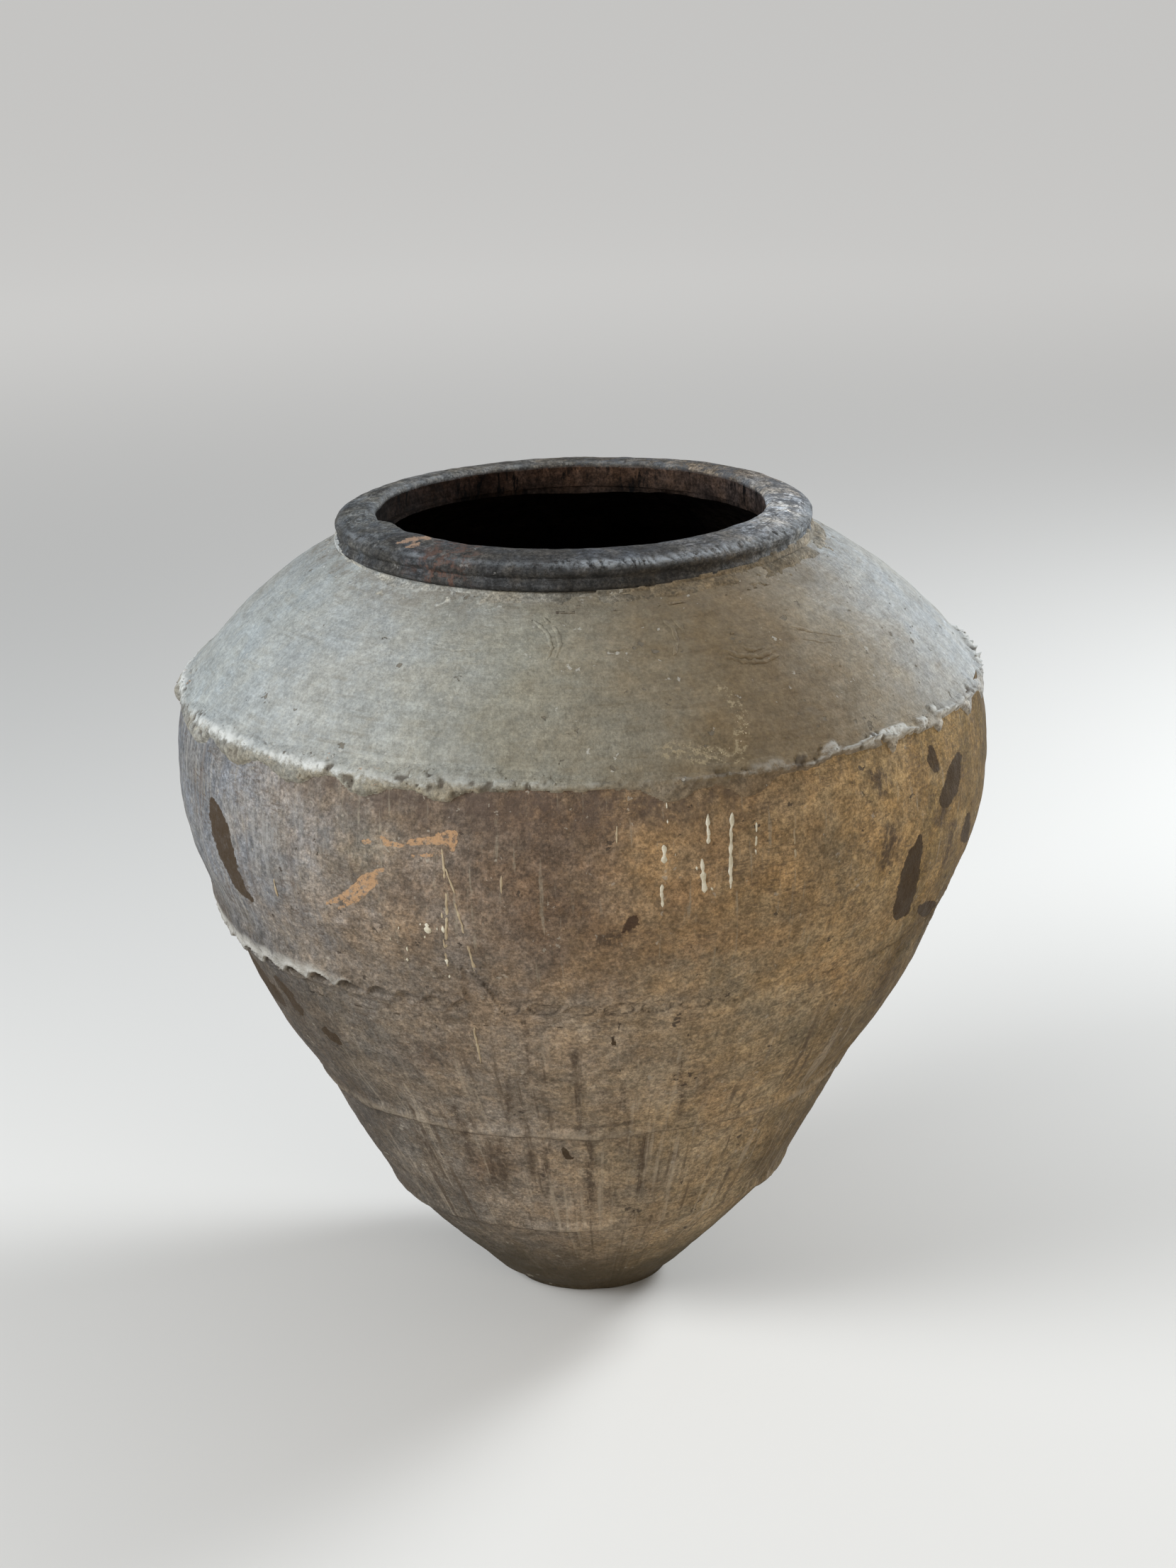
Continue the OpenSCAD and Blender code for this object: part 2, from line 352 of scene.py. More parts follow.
# %% Floor slab
def floor_piece():
    turns = 240
    ring = slab_r - WALL * 1.4
    z = seam_z[0]
    edge = [[BASE_R + (slab_r - BASE_R) * s, BASE_EDGE + (z - BASE_EDGE) * s] for s in np.linspace(0, 1, 7)]
    profile = np.array([[0, 0], [0.04, 0], [BASE_R - BASE_EDGE, 0], [BASE_R - 0.3 * BASE_EDGE, 0.25 * BASE_EDGE]]
                       + edge + [[slab_r - WALL / 2, z], [slab_r - WALL / 2, z + LAP], [ring, z + LAP], [ring, z],
                                 [0.04, z], [0, z]])
    grid = turned_points(profile, turns)
    p = grid.reshape(-1, 3)
    place = np.arange(len(profile))
    bump = stance(p).reshape(turns, -1) * ((place > 1) & (place < 15))
    bump += (relief(p) - stance(p)).reshape(turns, -1) * ((place > 1) & (place < 11))
    # Its edge turns from upright to the slant of the first wall, so that no slit opens between them
    slant = np.clip(np.arange(len(profile)) - 4, 0, 6)[:, None] / 6
    normals = np.array([1.0, 0.0]) * (1 - slant) + outline("foot_section", 0)[1][0] * slant
    normals[11:] = (1.0, 0.0)
    points = push(grid, normals, bump)
    faces = turn_grid(turns, len(profile))
    faces = faces[np.arange(len(faces)) % len(profile) != len(profile) - 1]
    obj = make_object("floor_slab_clay", points.reshape(-1, 3), faces)
    store(obj, "inside", np.tile(np.arange(len(profile)) > 10, turns))
    bm = bmesh.new()
    bm.from_mesh(obj.data)
    bmesh.ops.remove_doubles(bm, verts=bm.verts, dist=1e-6)
    bm.to_mesh(obj.data)
    bm.free()
    obj.data.set_sharp_from_angle(angle=math.radians(50))
    return obj


floor_slab = floor_piece()
print("floor slab", len(floor_slab.data.polygons), "faces")

# %% [markdown]
# ## The rim
# The rim is one thick coil, pressed flat on top and rounded at its outer edge. A groove runs round its outer face,
# deepest at the front left, where the potter's finger dragged. On the right the edge was paddled with a cord-like
# tool, which left short slanting ridges. The mouth isn't quite round: at the left its edge was pushed outward, and
# that push ends in a small kink.

# %% Rim
GROOVE = 3.0 * MM
ROPE_PITCH = 8.5 * MM
ROPE_DEPTH = 2.0 * MM
# How far the mouth was pushed outward at the left, and the turns in degrees where the push begins and ends
PUSHED = 11 * MM
PUSH_BEGINS = (118, 165)
PUSH_ENDS = (194, 199)


def rim_sketch():
    """Points of the rim's section from its lower outer edge round to its lower inner edge."""
    z0, h, width = seam_z[5], z_top - seam_z[5], rim_r - mouth_r
    face = [(3.5, 0.0), (1.0, 0.07), (0, 0.14), (0.3, 0.22), (1.0, 0.30), (1.2, 0.38), (0.6, 0.46), (0, 0.54),
            (0, 0.62), (1.2, 0.70), (3.4, 0.775), (6.5, 0.83)]
    top = [(0.80, 0.875), (0.68, 0.925), (0.55, 0.965), (0.42, 0.99), (0.30, 1.0), (0.20, 1.0), (0.11, 0.985),
           (0.045, 0.945), (0.01, 0.885), (0.0, 0.80), (0.0, 0.55), (0.0, TOP_LAP / h)]
    ledge = neck_r - WALL / 2
    sketch = [(rim_r - r * MM, z0 + v * h) for r, v in face] + [(mouth_r + width * u, z0 + v * h) for u, v in top]
    sketch = np.array(sketch + [(ledge, z0 + TOP_LAP), (ledge, z0)])
    fine = []
    for a, b in zip(sketch[:-1], sketch[1:]):
        n = max(1, round(np.linalg.norm(b - a) / (1.8 * MM)))
        fine += [a + (b - a) * k / n for k in range(n)]
    return np.array(fine + [sketch[-1]])


def rim_edge(p, turn):
    """How far the outside of the rim stands out past its true round, in metres."""
    wider = 3.5 * smooth(np.cos(turn - math.pi), 0.6, 0.95)
    return (wider + 1.3 * noise(p, 0.11, 23) + 0.8 * noise(p, 0.035, 24)) * MM


def rim_piece():
    turns = 1000
    profile = rim_sketch()
    z0, h, width = seam_z[5], z_top - seam_z[5], rim_r - mouth_r
    p = turned_points(profile, turns).reshape(-1, 3)
    turn = np.arctan2(p[:, 1], p[:, 0])
    degrees = np.degrees(turn) % 360
    height = (p[:, 2] - z0) / h
    across = np.clip((np.hypot(p[:, 0], p[:, 1]) - mouth_r) / width, 0, 1)
    worked = smooth(height, 0.0, 0.12)
    pushed = PUSHED * smooth(degrees, *PUSH_BEGINS) * (1 - smooth(degrees, *PUSH_ENDS))
    mouth_edge = (1 - across) ** 1.5 * (pushed + (1.6 * noise(p, 0.09, 21) + 0.9 * noise(p, 0.03, 22)) * MM)
    outer_edge = across * rim_edge(p, turn)
    side = smooth(across, 0.6, 0.95)
    left = smooth(np.cos(turn - math.radians(-135)), -0.2, 0.8)
    groove = GROOVE * (0.25 + 0.75 * left) * hump(height, 0.36, 0.11) * side
    paddled = smooth(np.cos(turn - math.radians(-45)), 0.55, 0.80)
    band = hump(height, 0.80, 0.11) * smooth(across, 0.66, 0.88)
    slant = turn * rim_r / ROPE_PITCH + height * 3.6 + 1.3 * noise(p, 0.022, 29)
    strand = np.abs(np.sin(math.pi * slant)) ** 0.8
    rope = ROPE_DEPTH * strand * paddled * band * (0.65 + 0.7 * noise(p, 0.014, 30))
    lift = (1.4 * noise(p, 0.13, 25) + 0.6 * noise(p, 0.03, 26) + 0.35 * noise(p, 0.01, 27)) * MM
    lift = lift * smooth(height, 0.6, 0.9) - ROPE_DEPTH * paddled * band + rope * 1.4
    rough = (0.45 * noise(p, 0.014, 31) + 0.3 * noise(p, 0.006, 28)) * MM
    radial = (mouth_edge + outer_edge - groove + rough) * worked + rope * side
    p = p + np.stack([np.cos(turn) * radial, np.sin(turn) * radial, lift], 1)
    obj = make_object("rim_clay", p, turn_grid(turns, len(profile)))
    store(obj, "inside", smooth(-across, -0.06, -0.02) * (height < 0.86))
    # The worn places are the outer top corner, the inner top edge and the crests of the rope ridges: partly wear, and
    # partly a painted highlight along these edges.
    corner = hump(height, 0.80, 0.06) * smooth(across, 0.7, 0.9) * (0.5 + 0.5 * noise(p, 0.02, 32))
    brink = hump(height, 0.96, 0.04) * (across < 0.12) * (0.4 + 0.6 * noise(p, 0.03, 33))
    store(obj, "worn", np.clip(corner * 0.8 + brink * 0.5 + strand * paddled * band * 0.9, 0, 1))
    store(obj, "across", across)
    obj.data.set_sharp_from_angle(angle=math.radians(60))
    return obj


rim = rim_piece()
print("rim", len(rim.data.polygons), "faces")

# %% [markdown]
# ## Bands of clay on a seam
# A lute is a skin of clay that follows the wall on both sides of its seam. It is laid out as a strip: one
# direction runs round the jar, the other across the seam, and a thickness is worked out at each point. Where the
# thickness falls to nothing the strip dips just under the wall, so that its visible edge is the true line where
# the clay thins out.

# %% Strip helper
SINK = 1.5 * MM
HIDE = 0.6 * MM
THINNEST = 0.15 * MM


def across_seam(lower, upper, s):
    """Outline points and normals at distances s from the seam between two sections; s is negative below it."""
    lengths = [np.linalg.norm(SECTIONS[name][1] - SECTIONS[name][0]) for name in (lower, upper)]
    below, above = outline(lower, 1 + np.minimum(s, 0) / lengths[0]), outline(upper, np.maximum(s, 0) / lengths[1])
    share = smooth(s, -3 * MM, 3 * MM)[:, None]
    normals = below[1] * (1 - share) + above[1] * share
    return np.where((s < 0)[:, None], below[0], above[0]), normals / np.linalg.norm(normals, axis=1)[:, None]


def seam_strip(name, lower, upper, reach_down, reach_up, step, thickness):
    """A closed strip over a seam; thickness(turn, s, points) gives the clay's height, and its cracks and painted shade,
    at each place.
    """
    s = np.linspace(-reach_down, reach_up, round((reach_down + reach_up) / step))
    points, normals = across_seam(lower, upper, s)
    turns = 8 * round(2 * math.pi * points[:, 0].mean() / step / 8)
    grid = turned_points(points, turns)
    p = grid.reshape(-1, 3)
    height, cracks_and_shade = thickness(np.arctan2(p[:, 1], p[:, 0]), np.tile(s, turns), p)
    height = np.where(height > THINNEST, height, np.minimum(height, -HIDE))
    front = push(grid, normals, (relief(p) + height).reshape(turns, -1))
    few = slice(None, None, -max(1, len(s) // 5))
    hidden = relief(grid[:, few].reshape(-1, 3)).reshape(turns, -1) - SINK
    deep = np.minimum(hidden, (relief(p) + height).reshape(turns, -1)[:, few] - SINK)
    cell = np.concatenate([front, push(grid[:, few], normals[few], deep)], axis=1)
    obj = make_object(name, cell.reshape(-1, 3), turn_grid(turns, cell.shape[1]))
    for label, values in (("proud", height / MM), ("across", np.tile(s, turns) / MM), ("cracks_and_shade", cracks_and_shade)):
        store(obj, label, np.concatenate([values.reshape(turns, -1), np.zeros(hidden.shape)], axis=1).ravel())
    return obj


def trace(pixels, lower, upper, rest):
    """A line along a seam: s at each turn, through pixels of the picture in front and (turn, s) of rest behind."""
    reach = np.linspace(-70, 60, 261) * MM
    heights = across_seam(lower, upper, reach)[0][:, 1]
    points = np.array([on_wall(px, py) for px, py in pixels])
    turn = np.concatenate([np.arctan2(points[:, 1], points[:, 0]), rest[:, 0]])
    place = np.concatenate([np.interp(points[:, 2], heights, reach), rest[:, 1]])
    fine = np.linspace(-math.pi, math.pi, 4096, endpoint=False)
    line = np.interp(fine, turn, place, period=2 * math.pi)
    soft = np.convolve(np.concatenate([line[-3:], line, line[:3]]), np.ones(7) / 7, "valid")
    return lambda turn: np.interp(turn, fine, soft, period=2 * math.pi)

# %% [markdown]
# ## The shoulder lute
# This is the boldest line of the jar. On the left the squeezed clay hangs in thick round lobes, at the front it
# thins to a wavy edge, and on the right it breaks into a ragged crest with small fins. Its lower edge and its crest
# are each followed pixel by pixel where the picture shows them. Behind, a fixed random seed sets the lobes.

# %% Shoulder lute
# Pixels along the lower edge of the lute and along its crest, from left to right
EDGE = [(271, 1030), (281, 1048), (292, 1048), (298, 1037), (314, 1059), (330, 1076), (342, 1080), (356, 1073),
        (371, 1073), (389, 1091), (406, 1103), (421, 1105), (439, 1096), (464, 1093), (478, 1101), (496, 1119),
        (514, 1123), (531, 1119), (546, 1112), (578, 1114), (592, 1119), (614, 1132), (631, 1132), (646, 1123),
        (667, 1118), (708, 1117), (743, 1113), (785, 1117), (820, 1117), (852, 1111), (885, 1114), (902, 1114),
        (929, 1128), (944, 1132), (958, 1128), (985, 1114), (1010, 1107), (1032, 1114), (1050, 1126), (1074, 1118),
        (1096, 1096), (1118, 1083), (1137, 1087), (1143, 1078), (1157, 1074), (1179, 1063), (1200, 1063), (1229, 1054),
        (1250, 1050), (1260, 1065), (1264, 1043), (1279, 1036), (1304, 1030), (1314, 1024), (1323, 1033), (1328, 1014),
        (1338, 1006), (1352, 997), (1364, 1010), (1365, 990), (1372, 976), (1378, 972), (1383, 986)]
CREST = [(267, 1005), (299, 1025), (324, 1037), (353, 1055), (367, 1065), (389, 1073), (421, 1076), (442, 1082),
         (463, 1085), (485, 1092), (506, 1095), (535, 1100), (585, 1104), (640, 1104), (735, 1106), (820, 1108),
         (870, 1106), (900, 1103), (950, 1100), (1000, 1096), (1050, 1092), (1100, 1084), (1136, 1079), (1157, 1071),
         (1179, 1059), (1200, 1056), (1221, 1046), (1257, 1037), (1300, 1025), (1314, 1011), (1336, 1001),
         (1354, 986), (1368, 975), (1379, 968)]
# The hidden part of a line runs between these turns
HIDDEN_TURNS = (math.radians(-4), math.radians(184))
z_shoulder, r_shoulder = seam_z[4], seam_r[4]

rng = np.random.default_rng(7)
lobes = []
turn = HIDDEN_TURNS[0]
while turn < HIDDEN_TURNS[1]:
    half = rng.uniform(14, 30) * MM / r_shoulder
    low, high, skew = -rng.uniform(13, 24) * MM, -rng.uniform(5, 9) * MM, rng.uniform(-0.5, 0.5)
    for k in np.linspace(0, 1, 9):
        along = turn + 2 * half * (k + skew * k * (1 - k))
        lobes.append((along, high + (low - high) * math.sqrt(1 - (2 * k - 1) ** 2)))
    turn += 2 * half + rng.uniform(1, 20) * MM / r_shoulder
lobes = [lobe for lobe in lobes if lobe[0] < HIDDEN_TURNS[1]]
lute_edge = trace(EDGE, "belly_section", "shoulder", np.array(lobes))
lute_crest = trace(CREST, "belly_section", "shoulder", np.array([(t, 3 * MM) for t in np.linspace(*HIDDEN_TURNS, 9)]))


def shoulder_clay(turn, s, p):
    """Height of the shoulder lute: a round body that fills its lobes, a crest, and a long feathered upper side."""
    ragged = smooth(np.cos(turn + math.radians(20)), 0.45, 0.80)
    bold = smooth(-np.cos(turn + math.radians(-15)), 0.05, 0.5)
    crest = lute_crest(turn) + 1.2 * noise_round(p, 0.016, 31) * MM
    edge = lute_edge(turn) + (0.9 * noise_round(p, 0.012, 32) + 0.5 * noise_round(p, 0.005, 33)) * MM
    edge = np.minimum(edge, crest - 3.5 * MM)
    depth = crest - edge
    share = (s - edge) / depth
    body = np.sqrt(np.clip(1 - (1 - np.clip(share * 2.2, 0, 1)) ** 2, 0, 1))
    bulk = 2.0 * MM + 0.26 * depth * (0.25 + 0.75 * bold)
    level = (1.9 + 1.3 * bold + 0.5 * noise_round(p, 0.03, 34)) * MM
    height = body * (bulk + (level - bulk) * smooth(share, 0.45, 1.05))
    above = (s - crest) / MM
    height *= 1 - smooth(above, 0.0, 9 + 10 * bold + 3 * noise_round(p, 0.05, 35))
    ridge = np.clip(0.62 + 0.7 * noise(p, 0.014, 37) + 0.6 * noise(p, 0.0055, 38), 0.05, 1.8)
    height += (0.9 + 5.2 * ragged + 0.6 * bold) * MM * hump(above, 0, 1.2 + 0.7 * bold) * ridge * (share > 0)
    tatter = smooth(noise(p, 0.011, 44), 0.1, 0.5) * smooth(above, 0.5, 3) * (1 - smooth(above, 6, 13))
    height += 3.0 * MM * ragged * tatter
    clay = smooth(height, 0.2 * MM, 1.2 * MM)
    height += clay * (0.6 * noise(p, 0.009, 40) + 0.45 * noise(p, 0.004, 41)) * MM
    # Pits are dented into the clay and also painted dark, a painted shade in them.
    pit = smooth(noise(p, 0.0052, 42) + 0.6 * noise(p, 0.013, 43), 0.50, 0.80) * smooth(above, -16, -6)
    pit *= 0.4 + 0.6 * np.maximum(ragged, bold)
    return height - clay * pit * 1.9 * MM, pit * clay


shoulder_lute = seam_strip("shoulder_lute_clay", "belly_section", "shoulder", 48 * MM, 36 * MM, 1.6 * MM,
                           shoulder_clay)
front = np.linspace(-3.0, -0.1, 60)
print("shoulder lute", len(shoulder_lute.data.polygons), "faces; its edge hangs",
      round(float(-lute_edge(front).min()) * 1000), "mm, its crest rises",
      round(float(lute_crest(front).max()) * 1000), "mm")

# %% [markdown]
# ## The thumbed lute
# Under the belly the potter smeared the clay of the ring above down over the seam and pressed it with a thumb, print
# beside print. Each print is an oval hollow under an arched edge. They are deep on the left, flattened to cracked
# ovals at the front, and worn to a line on the right. Seen prints take their place from the picture, and the rest
# follow at the width of a thumb.

# %% Thumbed lute
PRINT_PIXELS = [(321, 1296), (334, 1307), (350, 1320), (369, 1334), (395, 1349), (426, 1361), (459, 1372), (497, 1385),
                (540, 1396), (575, 1405), (611, 1413),
                (661, 1419), (711, 1422), (765, 1424), (819, 1424), (873, 1422), (927, 1418), (980, 1412), (1034, 1403),
                (1088, 1392), (1142, 1378), (1196, 1361)]
PRINT_WIDTH = 36 * MM

seen = sorted(turn_of(on_wall(px, py)) for px, py in PRINT_PIXELS)
behind = 2 * math.pi - (seen[-1] - seen[0])
extra = round(behind * seam_r[3] / PRINT_WIDTH)
rng = np.random.default_rng(11)
follow = [seen[-1] + behind * (k + rng.uniform(-0.12, 0.12)) / extra for k in range(1, extra)]
print_turns = np.array(seen + follow)
print_row = trace(PRINT_PIXELS, "middle_section", "belly_section",
                  np.array([(t, -1 * MM) for t in np.linspace(*HIDDEN_TURNS, 9)]))


def thumbed_clay(turn, s, p):
    """Height of the thumbed lute: a ledge with an arched lower edge, and an oval hollow under each arch."""
    along = (turn - seen[0]) % (2 * math.pi) + seen[0]
    phase = np.interp(along, np.append(print_turns, seen[0] + 2 * math.pi), np.arange(len(print_turns) + 1))
    x = (phase + 0.5) % 1 - 0.5
    y = (s - print_row(turn)) / MM + 0.8 * noise_round(p, 0.02, 50)
    deep = smooth(np.cos(turn - math.radians(-158)), 0.70, 0.97)
    deep = np.maximum(deep, (0.55 + 0.25 * noise(p, 0.15, 51)) * smooth(turn, 0.05, 0.8))
    faint = smooth(np.cos(turn - math.radians(-92)), 0.82, 0.97) * (1 - deep)
    uneven = 1 + 0.35 * noise_round(p, 0.035, 53)
    arch = 7.5 - 13.0 * (np.abs(x) * 2) ** 2.0 * uneven
    ledge = smooth(y, arch - 1.2, arch + 1.2) * (1 - smooth(y, arch + 1, 40))
    lip = hump(y, arch + 1.5, 1.6)
    wide = 0.36 + 0.09 * noise_round(p, 0.05, 62)
    oval = np.sqrt((x / wide) ** 2 + ((y + 1.5) / (7.5 + 2 * noise_round(p, 0.06, 63))) ** 2)
    oval += 0.16 * noise(p, 0.013, 58)
    under = hump(oval, 1.12, 0.17) * (y < -3)
    skin = 0.9 * smooth(y, -21, -15) * (1 - smooth(y, 14, 36))
    bed = 4.2 * deep * smooth(y, -17, -8) * (1 - smooth(y, 6, 40))
    hollow = smooth(1.06 - oval, 0, 0.4)
    ring = hump(oval, 1.02, 0.10) * faint * smooth(noise(p, 0.02, 64), -0.85, -0.3)
    line = hump(y, -22 + 3 * noise_round(p, 0.03, 56), 0.9) * smooth(noise_round(p, 0.05, 57), -0.35, 0.1)
    line = line * smooth(np.cos(turn - math.radians(-92)), 0.86, 0.96)
    worn = smooth(noise_round(p, 0.06, 59), -0.2, 0.3) * (1 - deep) * (1 - faint)
    line = np.maximum(line, hump(y, 1 + 3 * noise_round(p, 0.025, 60), 0.8) * worn)
    height = skin + bed + (3.4 * ledge + 2.2 * lip) * deep + (1.6 * ledge + 1.0 * lip) * (faint + 0.4 * worn)
    height += (1.6 * under - 4.4 * hollow) * deep + (1.1 * under - 0.9 * hollow) * faint - 1.1 * np.maximum(ring, line)
    height += 0.45 * noise(p, 0.009, 54) + 0.35 * noise(p, 0.004, 55)
    # A painted shade in the upper part of each hollow, under its overhanging arch.
    shade = deep * hollow * smooth(y, -12, -2)
    return height * MM, np.maximum(np.maximum(ring, line), 0.75 * shade)


thumbed_lute = seam_strip("thumbed_lute_clay", "middle_section", "belly_section", 27 * MM, 42 * MM, 1.6 * MM,
                          thumbed_clay)
print("thumbed lute", len(thumbed_lute.data.polygons), "faces,", len(print_turns), "prints")

# %% [markdown]
# ## The plain lutes
# The two lower seams were only wiped over, so all that is left is a low uneven ledge with its sharper edge below.
# Under the rim the clay was smeared down on to the shoulder in patches, and at both sides it also climbs the rim.

# %% Lower, foot and neck lutes
# How far the clay climbs the outside of the rim, in millimetres, at turns in degrees round the jar
CLIMB_TURNS = [0, 40, 90, 150, 180, 192, 202, 212, 272, 290, 320, 345, 360]
CLIMB = [9, 4, 3, 7, 10, 8, 3, 0, 0, 3, 8, 10, 9]


def wiped_clay(seed, proud, tilt):
    def thickness(turn, s, p):
        s = s / MM - tilt * np.cos(turn - math.radians(10))
        edge = 4 + 2.2 * noise_round(p, 0.05, seed) + 1.0 * noise_round(p, 0.012, seed + 1)
        body = smooth(s, -edge - 1.2, -edge + 1.0) * (1 - smooth(s, -1, 12))
        strength = np.clip(0.7 + 0.6 * noise_round(p, 0.09, seed + 2), 0.3, 1.2)
        # A dark line at the ledge's foot: a painted shade under the ledge.
        cracks_and_shade = hump(s, -edge + 0.2, 1.6) * (0.5 + 0.5 * smooth(strength, 0.2, 0.6))
        return (proud * strength * body + 0.4 * noise(p, 0.008, seed + 3) * body) * MM, cracks_and_shade
    return thickness


def neck_clay(turn, s, p):
    """Clay smeared from the rim to the shoulder; where it climbs the rim it has to stand clear of its face."""
    patches = smooth(noise(p, 0.05, 81) + 0.5 * noise(p, 0.018, 82), -0.5, 0.25)
    thick = smooth(np.cos(turn - math.radians(-50)), 0.2, 0.8)
    edge = (7 + 6 * thick + 4.5 * noise_round(p, 0.04, 83) + 2 * noise_round(p, 0.012, 84)) * MM
    low = (1.4 + 1.2 * thick) * smooth(s, -edge - 1 * MM, -edge + 4 * MM) * patches + 0.3 * noise(p, 0.005, 85)
    climb = np.interp(np.degrees(turn) % 360, CLIMB_TURNS, CLIMB)
    climb = climb + (1.6 * noise_round(p, 0.022, 86) + 1.4 * noise_round(p, 0.007, 87)) * (climb > 2)
    face = (rim_r - neck_r + rim_edge(p, turn) - relief(p)) / MM
    up = np.where(s / MM < climb, face + 1.5 - 1.3 * smooth(s / MM, climb - 6, climb), face - 7.0)
    rise = smooth(s, -3 * MM, 1 * MM)
    return np.where(s > 0, up, low * (1 - rise) + np.maximum(up, 0) * rise) * MM, np.zeros(len(s))


lower_lute = seam_strip("lower_lute_clay", "lower_section", "middle_section", 12 * MM, 16 * MM, 2.0 * MM,
                        wiped_clay(61, 5.0, 0.0))
foot_lute = seam_strip("foot_lute_clay", "foot_section", "lower_section", 16 * MM, 16 * MM, 2.0 * MM,
                       wiped_clay(71, 3.6, 4.0))
neck_lute = seam_strip("neck_lute_clay", "shoulder", "rim", 24 * MM, 16 * MM, 1.7 * MM, neck_clay)
print("plain lutes", [len(o.data.polygons) for o in (lower_lute, foot_lute, neck_lute)], "faces")

# %% [markdown]
# ## The coils inside
# Each joint is backed by a coil pressed into the corner inside. A coil is a flattened roll, thick in the middle
# and thin at both edges, so it is turned from half an ellipse laid on the inner wall.

# %% Inner coils
COIL_PROUD = 6 * MM
COIL_REACH = 14 * MM


def coil_piece(name, lower, upper, lap):
    z = SECTIONS[lower][1][1] if lower else seam_z[0]
    heights = np.linspace(z - COIL_REACH if lower else z, z + lap + COIL_REACH, 15)
    wall_r = np.where(heights < z, inner_radius(lower or upper, heights), inner_radius(upper, heights))
    share = np.linspace(0, 1, 15)
    swell = COIL_PROUD * np.sqrt(1 - (2 * share - 1) ** 2) if lower else COIL_REACH * (1 - share) ** 1.6
    front = np.stack([wall_r - swell + 1 * MM, heights], 1)[::-1]
    back = np.stack([wall_r + 2 * MM, heights], 1)[::3]
    profile = np.concatenate([back, front])
    turns = 320
    grid = turned_points(profile, turns)
    p = grid.reshape(-1, 3)
    wave = (1.0 * noise(p, 0.05, 91) + 0.5 * noise(p, 0.018, 92)) * MM
    wave = wave.reshape(turns, -1) * np.concatenate([np.zeros(len(back)), np.ones(len(front))])
    wave -= stance(p).reshape(turns, -1)
    return make_object(name, push(grid, np.tile([-1.0, 0.0], (len(profile), 1)), wave).reshape(-1, 3),
                       turn_grid(turns, len(profile)))


coils = {"floor_coil": coil_piece("floor_coil_clay", None, "foot_section", LAP)}
for name, lower, upper, lap in [("foot_coil", "foot_section", "lower_section", LAP),
                                ("lower_coil", "lower_section", "middle_section", LAP),
                                ("middle_coil", "middle_section", "belly_section", LAP),
                                ("shoulder_coil", "belly_section", "shoulder", TOP_LAP)]:
    coils[name] = coil_piece(name + "_clay", lower, upper, lap)
print("coils inside", len(coils))

# %% [markdown]
# ## Marks on the clay
# Damp patches, drips, an orange scrape, a stain and a trail of cream specks sit where the picture shows them. Each
# mark is a stroke: a chain of pixels with half widths. Every vertex of the wall keeps its distance to the nearest
# stroke, and the material turns that distance into a crisp or a feathered edge. The wide soft tones of the wall are
# kept in the same way, as oval patches that fade from their middle.

# %% Strokes
# Chains of (pixel x, pixel y, half width in pixels)
DAMP = [[(299, 1128, 3), (304, 1145, 8), (311, 1172, 12), (320, 1205, 10), (331, 1235, 7), (343, 1258, 5), (356, 1270, 2)],
        [(1299, 1179, 2), (1292, 1204, 9), (1284, 1235, 13), (1278, 1260, 12), (1272, 1282, 11), (1266, 1292, 5)],
        [(1303, 1284, 9), (1314, 1276, 6)], [(1352, 1066, 4), (1346, 1090, 9), (1340, 1115, 11), (1333, 1132, 7)],
        [(1313, 1056, 4), (1316, 1072, 7), (1320, 1085, 5)], [(1366, 1150, 3), (1360, 1184, 5)],
        [(336, 1322, 2), (352, 1352, 5), (372, 1382, 6), (392, 1405, 5), (402, 1418, 2)],
        [(388, 1378, 2), (407, 1402, 4), (427, 1430, 3)], [(458, 1452, 3), (470, 1463, 5), (480, 1472, 3)],
        [(865, 1466, 3), (866, 1472, 3)], [(796, 1622, 3), (800, 1631, 4), (808, 1633, 2)]]
SOAKED = [[(1232, 1092, 9), (1245, 1104, 13), (1248, 1115, 8)], [(1256, 1172, 7), (1258, 1190, 12), (1252, 1210, 12), (1244, 1226, 4)],
          [(1345, 1165, 7), (1338, 1200, 6), (1332, 1220, 4)], [(1331, 1140, 6), (1326, 1160, 4)],
          [(808, 1470, 2), (812, 1500, 3), (815, 1540, 3), (817, 1590, 2)], [(831, 1600, 4), (832, 1640, 5), (833, 1680, 5), (832, 1712, 2)],
          [(771, 1612, 3), (771, 1650, 4), (770, 1690, 2)], [(704, 1612, 5), (708, 1640, 7), (712, 1672, 3)],
          [(715, 1524, 2), (718, 1560, 3), (716, 1584, 2)], [(584, 1590, 2), (598, 1610, 4), (612, 1634, 2)],
          [(640, 1560, 2), (655, 1600, 4), (668, 1640, 3)], [(880, 1540, 2), (884, 1570, 2), (886, 1600, 1)],
          [(960, 1500, 2), (962, 1540, 3), (958, 1580, 2)], [(740, 1440, 2), (744, 1480, 3), (746, 1510, 1)],
          [(690, 1606, 2), (694, 1640, 3), (696, 1668, 2)], [(748, 1625, 2), (750, 1660, 2)], [(655, 1585, 2), (662, 1610, 2)],
          [(905, 1600, 2), (904, 1650, 3), (902, 1680, 1)], [(846, 1332, 6), (865, 1322, 13), (880, 1318, 10)]]
